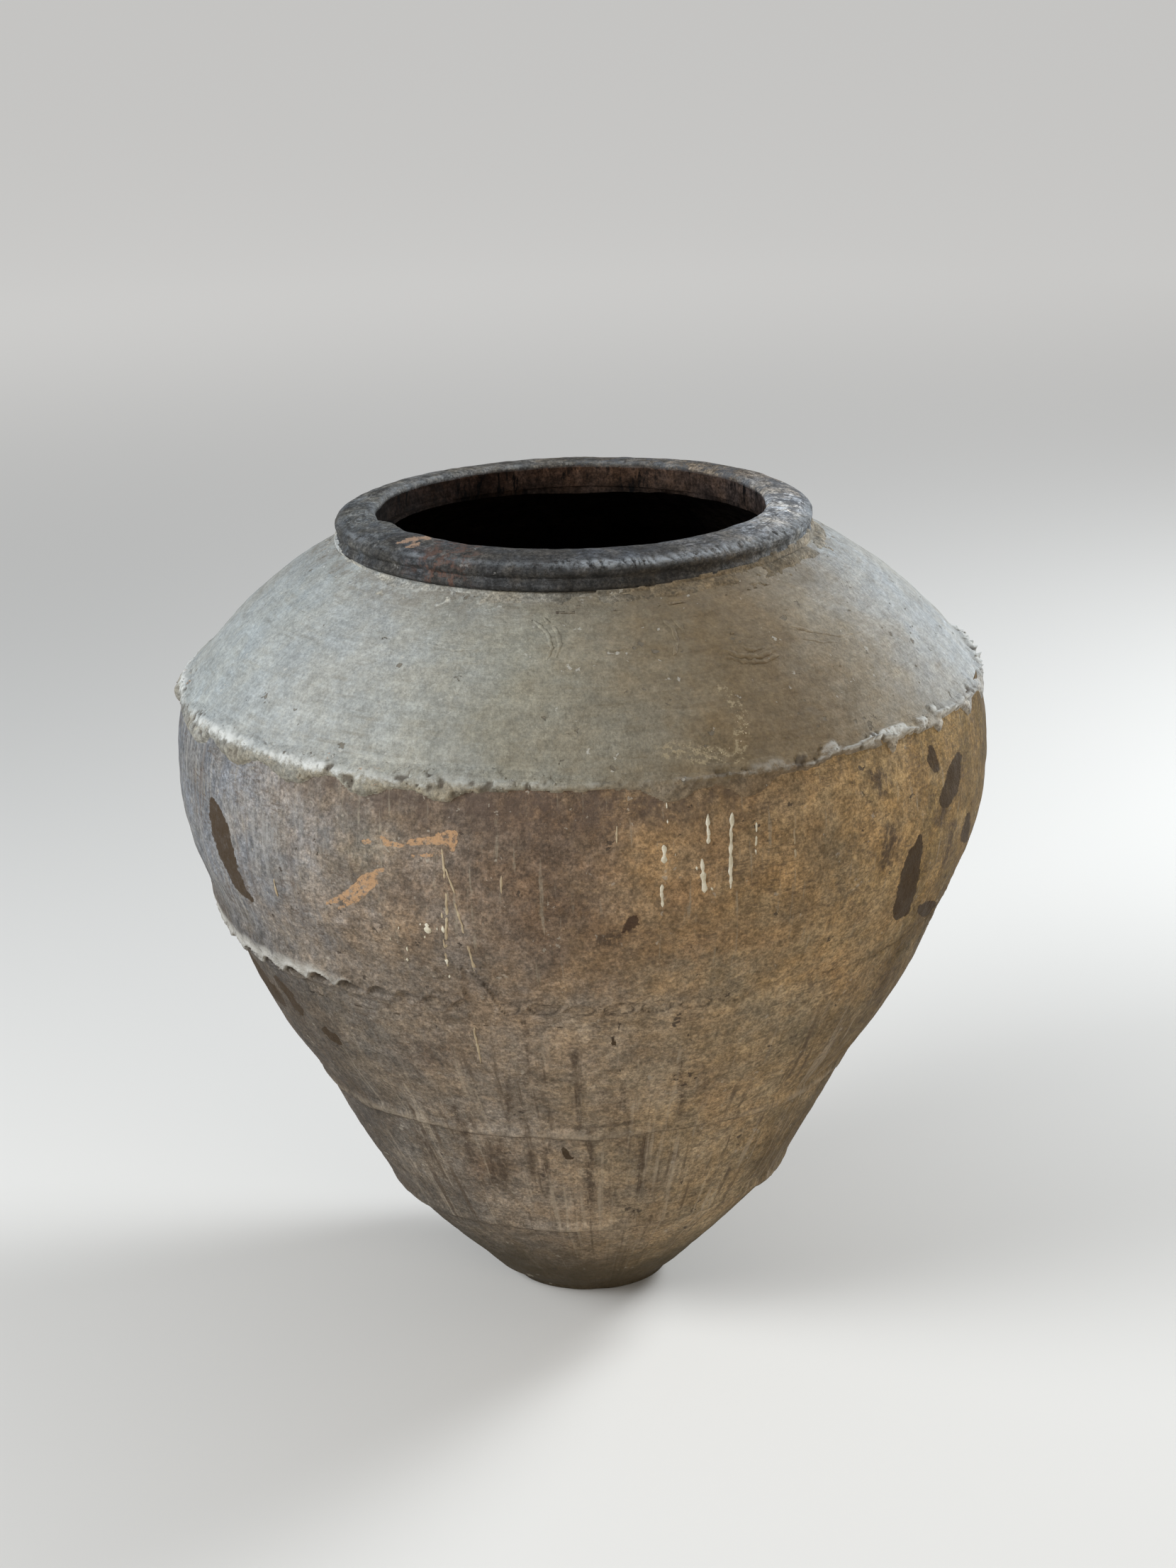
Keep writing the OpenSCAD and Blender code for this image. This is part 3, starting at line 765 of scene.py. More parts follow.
SCRAPE = [[(462, 1274, 2), (490, 1262, 5), (515, 1238, 5), (543, 1225, 1)], [(478, 1281, 1), (505, 1266, 5), (529, 1244, 4)],
          [(510, 1250, 3), (528, 1234, 5)], [(512, 1187, 2), (520, 1188, 3)], [(537, 1180, 2), (545, 1190, 4), (566, 1193, 2)],
          [(578, 1188, 4), (610, 1185, 5), (640, 1187, 5)], [(618, 1178, 3), (640, 1176, 5), (638, 1196, 4)],
          [(578, 1207, 1), (605, 1206, 2), (622, 1205, 1)]]
STAIN = [[(883, 1308, 5), (893, 1299, 8)], [(878, 1316, 3), (884, 1312, 4)]]
SPECKS = [[(1018, 965, 3), (1030, 985, 5), (1046, 1010, 7), (1048, 1040, 7), (1040, 1075, 5)],
          [(930, 1060, 4), (975, 1062, 12), (1020, 1070, 10)]]
RIM_SCRAPE = [[(561, 766, 1), (580, 761, 3), (606, 758, 2)], [(572, 772, 1), (590, 768, 2)]]
# Wide soft patches: (pixel x, pixel y, half width, half height, strength)
TONES = {
    "grey": [(505, 1195, 50, 55, 1.0), (1000, 1365, 70, 35, 0.9), (1195, 1245, 36, 50, 0.9), (1120, 1290, 50, 40, 0.5),
             (860, 1640, 70, 60, 0.6), (790, 1540, 60, 40, 0.5), (1080, 1440, 60, 30, 0.6), (1180, 1160, 50, 40, 0.4)],
    "orange": [(935, 1240, 45, 50, 0.8), (1165, 1375, 62, 28, 1.0), (1040, 1560, 45, 60, 0.6), (1090, 1190, 60, 60, 0.5),
               (1010, 1250, 40, 50, 0.5), (560, 1320, 50, 40, 0.4)],
    "dark": [(688, 1650, 30, 24, 0.8), (740, 1230, 75, 100, 0.8), (610, 1485, 50, 30, 0.9), (902, 1474, 24, 18, 0.7), (996, 1542, 18, 30, 0.7),
             (690, 1650, 36, 34, 0.4), (960, 1266, 30, 26, 0.6), (820, 1150, 60, 40, 0.8), (655, 1140, 60, 25, 0.5),
             (650, 1420, 90, 30, 0.4)],
    "pale": [(405, 1160, 50, 90, 0.8), (600, 1215, 60, 40, 0.3), (655, 1320, 60, 60, 0.4), (840, 1420, 100, 25, 0.4),
             (720, 1580, 60, 30, 0.4)]}
FAR = 60


def past_edge(points):
    """How far in pixels a point lies round the edge of what the camera sees; 0 where it is seen."""
    turn = np.arctan2(points[:, 1], points[:, 0])
    radial, upward = (np.interp(points[:, 2], stack[:, 1], stack_normals[:, k]) for k in (0, 1))
    sight = EYE - points
    facing = radial * (np.cos(turn) * sight[:, 0] + np.sin(turn) * sight[:, 1]) + upward * sight[:, 2]
    facing = facing / np.linalg.norm(sight, axis=1)
    return np.arcsin(np.clip(-facing, 0, 1)) * np.hypot(points[:, 0], points[:, 1]) / PX


def stroke_distance(points, strokes):
    """Distance in pixels of the picture from each point to the nearest stroke, below 0 within its width."""
    best = np.full(len(points), float(FAR))
    place = in_picture(points)
    for stroke in strokes:
        for a, b in zip(np.array(stroke[:-1], float), np.array(stroke[1:], float)):
            reach = b[:2] - a[:2]
            t = np.clip((place - a[:2]) @ reach / (reach @ reach), 0, 1)
            gap = np.linalg.norm(place - (a[:2] + t[:, None] * reach), axis=1) - (a[2] + (b[2] - a[2]) * t)
            best = np.minimum(best, gap)
    return np.minimum(best + past_edge(points), FAR)


def tone(points, patches):
    """How strong a tone is at each point, from 0 to 1; the hidden half of the jar gets none of it."""
    place = in_picture(points)
    total = np.zeros(len(points))
    for px, py, half_x, half_y, strength in patches:
        total += strength * np.exp(-((place[:, 0] - px) / half_x) ** 2 - ((place[:, 1] - py) / half_y) ** 2)
    return np.clip(total, 0, 1) * (1 - smooth(past_edge(points), 0, 120))


def mesh_points(obj):
    co = np.empty(len(obj.data.vertices) * 3, np.float32)
    obj.data.vertices.foreach_get("co", co)
    return co.reshape(-1, 3).astype(float)


BODY_STROKES = {"damp": DAMP, "soaked": SOAKED, "scrape": SCRAPE, "stain": STAIN}
body = [walls[name] for name in WALLS[:-1]] + [thumbed_lute, lower_lute, foot_lute]
for obj in body:
    points = mesh_points(obj)
    for name, strokes in BODY_STROKES.items():
        store(obj, name, stroke_distance(points, strokes))
    for name, patches in TONES.items():
        store(obj, name, tone(points, patches))
store(walls["shoulder"], "specks", stroke_distance(mesh_points(walls["shoulder"]), SPECKS))
store(rim, "scrape", stroke_distance(mesh_points(rim), RIM_SCRAPE))
print("strokes", sum(len(s) for s in (DAMP, SOAKED, SCRAPE, STAIN, SPECKS, RIM_SCRAPE)), "tones", len(TONES))

# %% [markdown]
# ## Shader groups
# A material is a small program. What several of them need is built once here as a node group with named inputs:
# clouds for blotches, streaks for runs that follow gravity or the wiping hand, pits for tiny holes, the turn about
# the jar's axis, and the grain that bump mapping turns into relief.

# %% Shader helper
class Shader:
    """Lays out one node tree: each call places a node, joins its inputs and gives back its output."""

    def __init__(self, tree):
        self.tree = tree

    def node(self, kind, inputs=(), out=0, **settings):
        made = self.tree.nodes.new(kind)
        for name, value in settings.items():
            setattr(made, name, value)
        for socket, value in dict(inputs).items():
            if isinstance(value, bpy.types.NodeSocket):
                self.tree.links.new(value, made.inputs[socket])
            else:
                made.inputs[socket].default_value = value
        return made.outputs[out]

    def math(self, operation, a, b=0.0):
        return self.node("ShaderNodeMath", {0: a, 1: b}, operation=operation)

    def scale(self, vector, by):
        return self.node("ShaderNodeVectorMath", {0: vector, 1: by}, operation="MULTIPLY")

    def step(self, value, low, high, first=0.0, last=1.0):
        return self.node("ShaderNodeMapRange", {0: value, 1: low, 2: high, 3: first, 4: last},
                         interpolation_type="SMOOTHSTEP")

    def mix(self, share, a, b):
        a, b = [(*c, 1.0) if isinstance(c, tuple) else c for c in (a, b)]
        return self.node("ShaderNodeMix", {0: share, 6: a, 7: b}, out=2, data_type="RGBA")

    def ramp(self, share, stops):
        """Colours along a share from 0 to 1; stops are pairs of a place and a colour."""
        made = self.tree.nodes.new("ShaderNodeValToRGB")
        self.tree.links.new(share, made.inputs[0])
        for n, (place, colour) in enumerate(stops):
            stop = made.color_ramp.elements[n] if n < 2 else made.color_ramp.elements.new(place)
            stop.position = place
            stop.color = (*colour, 1.0)
        return made.outputs[0]

    def group(self, tree, **inputs):
        made = self.tree.nodes.new("ShaderNodeGroup")
        made.node_tree = tree
        for name, value in inputs.items():
            made.inputs[name.capitalize()].default_value = value
        return made.outputs[0]

    def attribute(self, name):
        return self.node("ShaderNodeAttribute", attribute_name=name, out="Fac")

    def object_place(self):
        return self.node("ShaderNodeTexCoord", out="Object")


def shader_group(name, inputs, output, build):
    """A node group whose inputs are numbers with the given defaults; build(shader, inputs) gives its output."""
    tree = bpy.data.node_groups.new(name, "ShaderNodeTree")
    for label, default in inputs.items():
        tree.interface.new_socket(label, in_out="INPUT", socket_type="NodeSocketFloat").default_value = default
    tree.interface.new_socket(output, in_out="OUTPUT", socket_type="NodeSocketFloat")
    entry = tree.nodes.new("NodeGroupInput")
    result = build(Shader(tree), {label: entry.outputs[label] for label in inputs})
    tree.links.new(result, tree.nodes.new("NodeGroupOutput").inputs[0])
    return tree


def height_of(sh):
    return sh.node("ShaderNodeSeparateXYZ", {0: sh.object_place()}, out="Z")


def sized(sh, size, seed, place=None):
    """The place on the piece, counted in units of size and moved on by seed, so that each use differs."""
    place = sh.scale(place or sh.object_place(), sh.math("DIVIDE", 1.0, size))
    return sh.node("ShaderNodeVectorMath", {0: place, 1: seed}, operation="ADD")

# %% Clouds, streaks, pits, turn and grain
def build_clouds(sh, i):
    value = sh.node("ShaderNodeTexNoise", {"Vector": sized(sh, i["Size"], i["Seed"]), "Scale": 1.0, "Detail": 9.0,
                                           "Roughness": 0.74})
    return sh.step(value, i["Low"], i["High"], i["From"], i["To"])


def build_streaks(sh, i):
    """Noise drawn out up and down the wall, or round it where Squeeze is above 1."""
    flat = sh.scale(sh.object_place(), (1.0, 1.0, 0.0))
    radius = sh.node("ShaderNodeVectorMath", {0: flat}, operation="LENGTH", out="Value")
    side = sh.scale(sh.node("ShaderNodeVectorMath", {0: flat}, operation="NORMALIZE"), (0.3, 0.3, 0.0))
    rise = sh.math("SUBTRACT", height_of(sh), sh.math("MULTIPLY", radius, 0.5))
    rise = sh.node("ShaderNodeCombineXYZ", {2: sh.math("MULTIPLY", rise, i["Squeeze"])})
    place = sh.node("ShaderNodeVectorMath", {0: side, 1: rise}, operation="ADD")
    place = sized(sh, i["Size"], i["Seed"], place)
    value = sh.node("ShaderNodeTexNoise", {"Vector": place, "Scale": 1.0, "Detail": 5.0, "Roughness": 0.6})
    return sh.step(value, i["Low"], i["High"])


def build_pits(sh, i):
    place = sized(sh, i["Size"], i["Seed"])
    bend = sh.node("ShaderNodeTexNoise", {"Vector": place, "Scale": 2.2, "Detail": 3.0}, out="Color")
    place = sh.node("ShaderNodeVectorMath", {0: place, 1: sh.scale(bend, (1.1, 1.1, 1.1))}, operation="ADD")
    distance = sh.node("ShaderNodeTexVoronoi", {"Vector": place, "Scale": 1.0})
    some = sh.node("ShaderNodeTexNoise", {"Vector": place, "Scale": 0.35, "Detail": 2.0})
    reach = sh.step(some, i["Few"], 0.8, 0.0, 0.42)
    return sh.step(sh.math("SUBTRACT", reach, distance), 0.0, 0.08)


def build_turn(sh, i):
    parts = sh.node("ShaderNodeSeparateXYZ", {0: sh.object_place()}).node
    angle = sh.math("ARCTAN2", parts.outputs["X"], sh.math("MULTIPLY", parts.outputs["Y"], -1.0))
    wave = sh.node("ShaderNodeTexNoise", {"Vector": sized(sh, 0.07, i["Seed"]), "Scale": 1.0, "Detail": 6.0,
                                          "Roughness": 0.7})
    share = sh.math("ADD", sh.math("DIVIDE", angle, 2 * math.pi), 0.5)
    return sh.math("ADD", share, sh.math("MULTIPLY", sh.math("SUBTRACT", wave, 0.5), i["Waver"]))


def build_grain(sh, i):
    place = sh.object_place()
    lumps = sh.node("ShaderNodeTexNoise", {"Vector": place, "Scale": 95.0, "Detail": 8.0, "Roughness": 0.68})
    sand = sh.node("ShaderNodeTexVoronoi", {"Vector": place, "Scale": 420.0})
    wiped = sh.node("ShaderNodeTexNoise", {"Vector": sh.scale(place, (16.0, 16.0, 300.0)), "Scale": 1.0, "Detail": 4.0})
    total = sh.math("MULTIPLY", lumps, i["Lumps"])
    total = sh.math("ADD", total, sh.math("MULTIPLY", sand, i["Sand"]))
    return sh.math("ADD", total, sh.math("MULTIPLY", wiped, i["Wiping"]))


CLOUDS = shader_group("clouds", {"Size": 0.1, "Seed": 0.0, "Low": 0.4, "High": 0.6, "From": 0.0, "To": 1.0}, "Mask",
                      build_clouds)
STREAKS = shader_group("streaks", {"Size": 0.02, "Seed": 0.0, "Low": 0.45, "High": 0.6, "Squeeze": 0.09}, "Mask",
                       build_streaks)
PITS = shader_group("pits", {"Size": 0.01, "Seed": 0.0, "Few": 0.5}, "Mask", build_pits)
TURN = shader_group("turn", {"Seed": 0.0, "Waver": 0.2}, "Share", build_turn)
GRAIN = shader_group("grain", {"Lumps": 1.0, "Sand": 0.2, "Wiping": 0.2}, "Height", build_grain)
print("shader groups", [g.name for g in (CLOUDS, STREAKS, PITS, TURN, GRAIN)])

# %% [markdown]
# ## Materials
# All the clay of the jar is one kind of earthenware, but it has aged in four ways. The shoulder was limewashed, the
# body is bare and stained by damp, the rim is black with soot and handling, and the inside is dark, with painted shade
# that deepens further in. Each material starts from a ramp of colours round the jar, partly the clay's own tones and
# partly painted light: cooler at the left, painted shade right of the front on the shoulder and at the left low down,
# and a painted highlight at the far right of the shoulder and rim. It then adds blotches, runs, specks and grains on
# top, from large to small.

# %% Material helper
def material(name, build, shine=0.3):
    """A material with one Principled shader; build(shader) gives its colour, roughness and height in millimetres."""
    made = bpy.data.materials.new(name)
    made.use_nodes = True
    tree = made.node_tree
    tree.nodes.clear()
    sh = Shader(tree)
    colour, roughness, height = build(sh)
    normal = sh.node("ShaderNodeBump", {"Height": height, "Distance": MM, "Strength": 1.0})
    surface = sh.node("ShaderNodeBsdfPrincipled", {"Base Color": colour, "Roughness": roughness, "Normal": normal,
                                                   "Specular IOR Level": shine})
    tree.links.new(surface, tree.nodes.new("ShaderNodeOutputMaterial").inputs[0])
    return made


def clouds(sh, size_mm, seed, low=0.42, high=0.58, first=0.0, last=1.0):
    made = sh.tree.nodes.new("ShaderNodeGroup")
    made.node_tree = CLOUDS
    for name, value in zip(("Size", "Seed", "Low", "High", "From", "To"), (size_mm * MM, seed, low, high, first, last)):
        made.inputs[name].default_value = value
    return made.outputs[0]


def streaks(sh, size_mm, seed, low=0.45, high=0.6, squeeze=0.09):
    return sh.group(STREAKS, size=size_mm * MM, seed=seed, low=low, high=high, squeeze=squeeze)


def between(sh, share, low, high, soft):
    """1 where share lies between low and high, with soft ends."""
    rise = sh.step(share, low - soft, low + soft)
    return sh.math("MULTIPLY", rise, sh.step(share, high - soft, high + soft, 1.0, 0.0))


def both(sh, *masks):
    """A mask that is only full where all of them are; plain numbers weaken it."""
    total = masks[0]
    for mask in masks[1:]:
        total = sh.math("MULTIPLY", total, mask)
    return total


def mottled(sh, colour, seed, strength=1.0):
    """Darkens and lightens a colour in blotches of four sizes, and warms and cools it in a fifth."""
    for n, (size_mm, change) in enumerate([(75, 0.16), (24, 0.18), (8, 0.28), (3, 0.36)]):
        change = change * strength
        colour = sh.scale(colour, clouds(sh, size_mm, seed + n, 0.36, 0.64, 1 - change, 1 + change))
    warm = (1 + 0.05 * strength, 1.0, 1 - 0.07 * strength)
    cool = (1 - 0.04 * strength, 1.0, 1 + 0.06 * strength)
    return sh.scale(colour, sh.mix(clouds(sh, 40, seed + 4, 0.38, 0.62), warm, cool))


def speckled(sh, colour, pale, dark, seed):
    """Adds the finest layer of colour: pale grains and dark pits."""
    colour = sh.mix(both(sh, sh.group(PITS, size=7 * MM, seed=seed + 1, few=0.48), 0.55), colour, pale)
    return sh.mix(both(sh, sh.group(PITS, size=11 * MM, seed=seed + 2, few=0.52), 0.85), colour, dark)


def within(sh, name, edge, wobble, size_mm, seed, core=0.0):
    """1 inside a stroke of that name; it fades from core to edge and wanders by wobble, all in pixels."""
    wander = clouds(sh, size_mm, seed, 0.3, 0.7, -wobble, wobble)
    return sh.step(sh.math("ADD", sh.attribute(name), wander), edge, core)

# %% Inside of the jar
INSIDE_SHADE = (0.013, 0.0095, 0.008)
INSIDE_ROUND = [(0.0, (0.062, 0.036, 0.024)), (0.10, (0.036, 0.020, 0.014)), (0.22, (0.008, 0.006, 0.005)),
                (0.5, (0.010, 0.008, 0.007)), (0.68, (0.030, 0.022, 0.019)), (0.80, (0.044, 0.033, 0.029)),
                (0.90, (0.058, 0.037, 0.027)), (1.0, (0.062, 0.036, 0.024))]


def inside_colour(sh):
    """Dark clay, a little red at the back and dusty at the right, that falls off to black further down: a painted shade
    inside the jar.
    """
    depth = sh.math("ADD", height_of(sh), clouds(sh, 40, 6.0, 0.3, 0.7, -0.009, 0.009))
    depth = sh.math("POWER", sh.step(depth, z_top - 40 * MM, z_top - 3 * MM), 1.2)
    colour = sh.mix(depth, INSIDE_SHADE, sh.ramp(sh.group(TURN, seed=6.0, waver=0.2), INSIDE_ROUND))
    colour = mottled(sh, colour, 91.0, 1.3)
    cracks = both(sh, streaks(sh, 12, 8.3, 0.52, 0.60, 0.4), clouds(sh, 50, 5.0))
    return sh.mix(cracks, colour, (0.004, 0.0035, 0.0035))


def build_inside(sh):
    height = sh.group(GRAIN, lumps=0.8, sand=0.1, wiping=0.5)
    return inside_colour(sh), clouds(sh, 30, 2.0, first=0.62, last=0.8), height

# %% Bare body clay
# Colours round the belly and round the sections below it: 0.25 is the left, 0.5 the front and 0.75 the right.
# They are partly the clay's own tones and partly painted light: cooler at the left, warmer at the right, and, low
# down at the left, a painted shade under the thumbed ledge.
BELLY_TONE_AND_LIGHT = [(0.0, (0.21, 0.165, 0.125)), (0.20, (0.19, 0.180, 0.165)), (0.272, (0.138, 0.146, 0.158)),
               (0.352, (0.190, 0.192, 0.198)), (0.42, (0.184, 0.146, 0.113)), (0.48, (0.168, 0.116, 0.078)),
               (0.537, (0.265, 0.182, 0.104)), (0.597, (0.330, 0.230, 0.120)), (0.653, (0.240, 0.160, 0.068)),
               (0.708, (0.120, 0.078, 0.030)), (0.80, (0.19, 0.145, 0.10)), (1.0, (0.21, 0.165, 0.125))]
LOWER_TONE_AND_LIGHT = [(0.0, (0.21, 0.165, 0.125)), (0.25, (0.12, 0.098, 0.078)), (0.33, (0.087, 0.071, 0.056)),
               (0.40, (0.162, 0.138, 0.112)), (0.475, (0.265, 0.210, 0.157)), (0.588, (0.31, 0.238, 0.148)),
               (0.67, (0.108, 0.074, 0.034)), (0.80, (0.18, 0.140, 0.10)), (1.0, (0.21, 0.165, 0.125))]
PALE_RUN = (0.30, 0.295, 0.285)
BROWN = (0.085, 0.060, 0.040)
# What each tone turns the clay into, and how far
TONE_COLOURS = {"grey": ((0.175, 0.155, 0.115), 0.65), "orange": ((0.34, 0.225, 0.115), 0.55), "dark": ((0.115, 0.075, 0.050), 0.65),
                "pale": ((0.30, 0.275, 0.245), 0.6)}


def body_colour(sh):
    """Fired clay from the belly down: its colours round the jar with their painted light, its blotches, a painted shade
    under the shoulder lute, and what ran down it.
    """
    z = height_of(sh)
    share = sh.group(TURN, seed=1.0, waver=0.16)
    below = sh.step(sh.math("ADD", z, clouds(sh, 50, 10.0, 0.3, 0.7, -0.02, 0.02)), seam_z[3] + 0.09, seam_z[3] - 0.04)
    colour = sh.mix(below, sh.ramp(share, BELLY_TONE_AND_LIGHT), sh.ramp(share, LOWER_TONE_AND_LIGHT))
    for n, (name, (tint, strength)) in enumerate(TONE_COLOURS.items()):
        mask = both(sh, sh.attribute(name), clouds(sh, 34, 25.0 + n, 0.34, 0.56), strength)
        colour = sh.mix(mask, colour, tint)
    colour = mottled(sh, colour, 11.0)
    left = sh.step(share, 0.43, 0.33)
    on_belly = sh.step(z, seam_z[3], seam_z[3] + 0.05)
    pale = both(sh, streaks(sh, 5, 15.0, 0.50, 0.62, 0.08), clouds(sh, 30, 22.0, 0.36, 0.56), left, on_belly, 0.7)
    colour = sh.mix(pale, colour, PALE_RUN)
    colour = sh.mix(both(sh, streaks(sh, 9, 19.0, 0.56, 0.66, 0.08), left, on_belly, 0.6), colour, (0.12, 0.10, 0.09))
    # A painted shade on the front of the belly, just under the overhanging shoulder lute.
    shade_under_lute = sh.math("SUBTRACT", 1.0, sh.step(sh.math("SUBTRACT", seam_z[4], z), 0.018, 0.055))
    colour = sh.mix(both(sh, shade_under_lute, between(sh, share, 0.40, 0.56, 0.03), clouds(sh, 20, 20.0, 0.36, 0.6), 0.75),
                    colour, (0.082, 0.058, 0.046))
    lower = sh.step(z, seam_z[3] - 0.02, seam_z[3] - 0.08)
    front = between(sh, share, 0.36, 0.68, 0.04)
    broken = clouds(sh, 60, 23.0, 0.38, 0.54)
    colour = sh.mix(both(sh, streaks(sh, 12, 18.0, 0.55, 0.66, 0.10), broken, lower, front, 0.75), colour, BROWN)
    colour = sh.mix(both(sh, streaks(sh, 9, 17.0, 0.55, 0.68, 0.10), lower, front, 0.5), colour, (0.42, 0.36, 0.28))
    colour = sh.mix(both(sh, streaks(sh, 4, 16.0, 0.60, 0.70, 0.08), on_belly, 0.45), colour, (0.32, 0.285, 0.22))
    wiped = both(sh, streaks(sh, 45, 29.0, 0.52, 0.64, 18.0), clouds(sh, 40, 30.0, 0.42, 0.60), 0.35)
    colour = sh.mix(wiped, colour, sh.scale(colour, (0.62, 0.60, 0.58)))
    scabs = both(sh, streaks(sh, 8, 93.0, 0.52, 0.60, 3.0), clouds(sh, 55, 94.0, 0.44, 0.60), 0.55)
    colour = sh.mix(scabs, colour, (0.085, 0.060, 0.043))
    foot = sh.step(sh.math("ADD", z, clouds(sh, 40, 21.0, 0.3, 0.7, -0.02, 0.02)), 0.125, 0.03)
    colour = sh.mix(both(sh, foot, 0.88), colour, (0.058, 0.044, 0.023))
    return speckled(sh, colour, (0.38, 0.345, 0.29), (0.060, 0.045, 0.034), 31.0)


def marked(sh, colour):
    """The damp patches, the drips, the scrapes and the stain."""
    soaked = both(sh, within(sh, "soaked", 7.0, 5.0, 12, 26.0, -5.0), streaks(sh, 7, 37.0, 0.34, 0.50, 0.3),
                  clouds(sh, 5, 38.0, 0.34, 0.52), 0.85)
    colour = sh.mix(soaked, colour, (0.062, 0.042, 0.028))
    damp = within(sh, "damp", 1.0, 1.8, 12, 21.0)
    colour = sh.mix(both(sh, damp, clouds(sh, 8, 27.0, 0.3, 0.5, 0.80, 0.97)), colour, (0.044, 0.026, 0.011))
    scratch = clouds(sh, 5, 22.0, 0.40, 0.52)
    colour = sh.mix(both(sh, within(sh, "scrape", 0.8, 2.0, 6, 23.0), scratch, 0.95), colour, (0.43, 0.265, 0.145))
    stain = both(sh, within(sh, "stain", 1.5, 3.0, 9, 24.0), 0.85)
    return sh.mix(stain, colour, (0.040, 0.020, 0.012))


def body_height(sh, seed):
    height = sh.group(GRAIN, lumps=2.6, sand=0.3, wiping=0.6)
    return sh.math("ADD", height, both(sh, sh.group(PITS, size=11 * MM, seed=seed, few=0.52), -0.8))


def build_body(sh):
    colour = sh.mix(both(sh, sh.attribute("cracks_and_shade"), 0.85), marked(sh, body_colour(sh)), (0.050, 0.034, 0.024))
    colour = sh.mix(sh.attribute("inside"), colour, inside_colour(sh))
    return colour, clouds(sh, 20, 4.0, first=0.80, last=0.94), body_height(sh, 33.0)


def build_slab(sh):
    """The foot's edge: the body clay without the marks that only the walls have."""
    colour = sh.mix(sh.attribute("inside"), body_colour(sh), inside_colour(sh))
    return colour, clouds(sh, 20, 4.0, first=0.80, last=0.94), body_height(sh, 33.0)


def build_thumbed(sh):
    """The body clay with its high places rubbed pale at the left, and its ledge's foot kept dark with cracks and a
    painted shade in the hollows under the arches.
    """
    share = sh.group(TURN, seed=1.0, waver=0.10)
    rubbed = both(sh, sh.step(sh.attribute("proud"), 5.4, 8.4), sh.step(share, 0.47, 0.41), clouds(sh, 9, 28.0, 0.3, 0.5), 0.9)
    colour = sh.mix(rubbed, marked(sh, body_colour(sh)), (0.46, 0.45, 0.42))
    colour = sh.mix(both(sh, sh.attribute("cracks_and_shade"), 0.85), colour, (0.045, 0.033, 0.024))
    return colour, clouds(sh, 20, 4.0, first=0.80, last=0.94), body_height(sh, 34.0)



def build_wiped(sh):
    """The two plain lutes: their top is paler with dust and a painted highlight, and their foot is darkened by a
    painted shade under the ledge.
    """
    dust_and_sheen = both(sh, sh.step(sh.attribute("proud"), 1.2, 3.6), clouds(sh, 14, 35.0, 0.36, 0.58), 0.45)
    colour = sh.mix(dust_and_sheen, marked(sh, body_colour(sh)), (0.34, 0.285, 0.215))
    colour = sh.mix(both(sh, sh.attribute("cracks_and_shade"), 0.9), colour, (0.050, 0.032, 0.021))
    return colour, clouds(sh, 20, 4.0, first=0.80, last=0.94), body_height(sh, 36.0)

# %% Limewashed shoulder
# Colours round the shoulder: the pale grey-white of the lime at the left is its own. The dark warm stops right of the
# front, from 0.56 to 0.60, are a painted shade, and the pale bluish stop at 0.71 is partly a painted highlight.
SHOULDER_TONE_AND_LIGHT = [(0.0, (0.34, 0.325, 0.29)), (0.22, (0.32, 0.33, 0.32)), (0.297, (0.305, 0.327, 0.325)),
                  (0.375, (0.325, 0.335, 0.322)), (0.43, (0.29, 0.29, 0.26)), (0.475, (0.248, 0.238, 0.193)),
                  (0.56, (0.160, 0.120, 0.070)), (0.60, (0.175, 0.134, 0.084)), (0.64, (0.265, 0.232, 0.178)),
                  (0.71, (0.39, 0.41, 0.415)), (0.80, (0.35, 0.35, 0.33)), (1.0, (0.34, 0.325, 0.29))]


def lime_and_light_colour(sh):
    share = sh.group(TURN, seed=2.0, waver=0.10)
    colour = mottled(sh, sh.ramp(share, SHOULDER_TONE_AND_LIGHT), 41.0, 0.45)
    for seed, size_mm, squeeze in [(45.0, 90, 12.0), (40.0, 60, 24.0)]:
        wiped = both(sh, streaks(sh, size_mm, seed, 0.48, 0.64, squeeze), clouds(sh, 50, seed + 3, 0.38, 0.60), 0.28)
        colour = sh.mix(wiped, colour, sh.scale(colour, (1.35, 1.38, 1.42)))
    worn = both(sh, streaks(sh, 80, 46.0, 0.50, 0.66, 12.0), clouds(sh, 60, 47.0), 0.4)
    return sh.mix(worn, colour, sh.scale(colour, (0.66, 0.60, 0.52)))


def build_limed(sh):
    colour = speckled(sh, lime_and_light_colour(sh), (0.50, 0.49, 0.45), (0.15, 0.13, 0.10), 48.0)
    specks = both(sh, within(sh, "specks", 6.0, 6.0, 20, 44.0), clouds(sh, 6, 49.0, 0.50, 0.56), 0.65)
    colour = sh.mix(specks, colour, (0.40, 0.335, 0.215))
    # A painted shade on the shoulder, just under the rim.
    shade_under_rim = both(sh, sh.step(height_of(sh), seam_z[5] - 0.03, seam_z[5]), clouds(sh, 24, 50.0), 0.5)
    colour = sh.mix(shade_under_rim, colour, (0.16, 0.13, 0.095))
    colour = sh.mix(sh.attribute("inside"), colour, inside_colour(sh))
    height = sh.group(GRAIN, lumps=1.9, sand=0.22, wiping=0.6)
    height = sh.math("ADD", height, both(sh, sh.group(PITS, size=11 * MM, seed=50.0, few=0.50), -1.0))
    return colour, clouds(sh, 20, 4.0, first=0.82, last=0.95), height

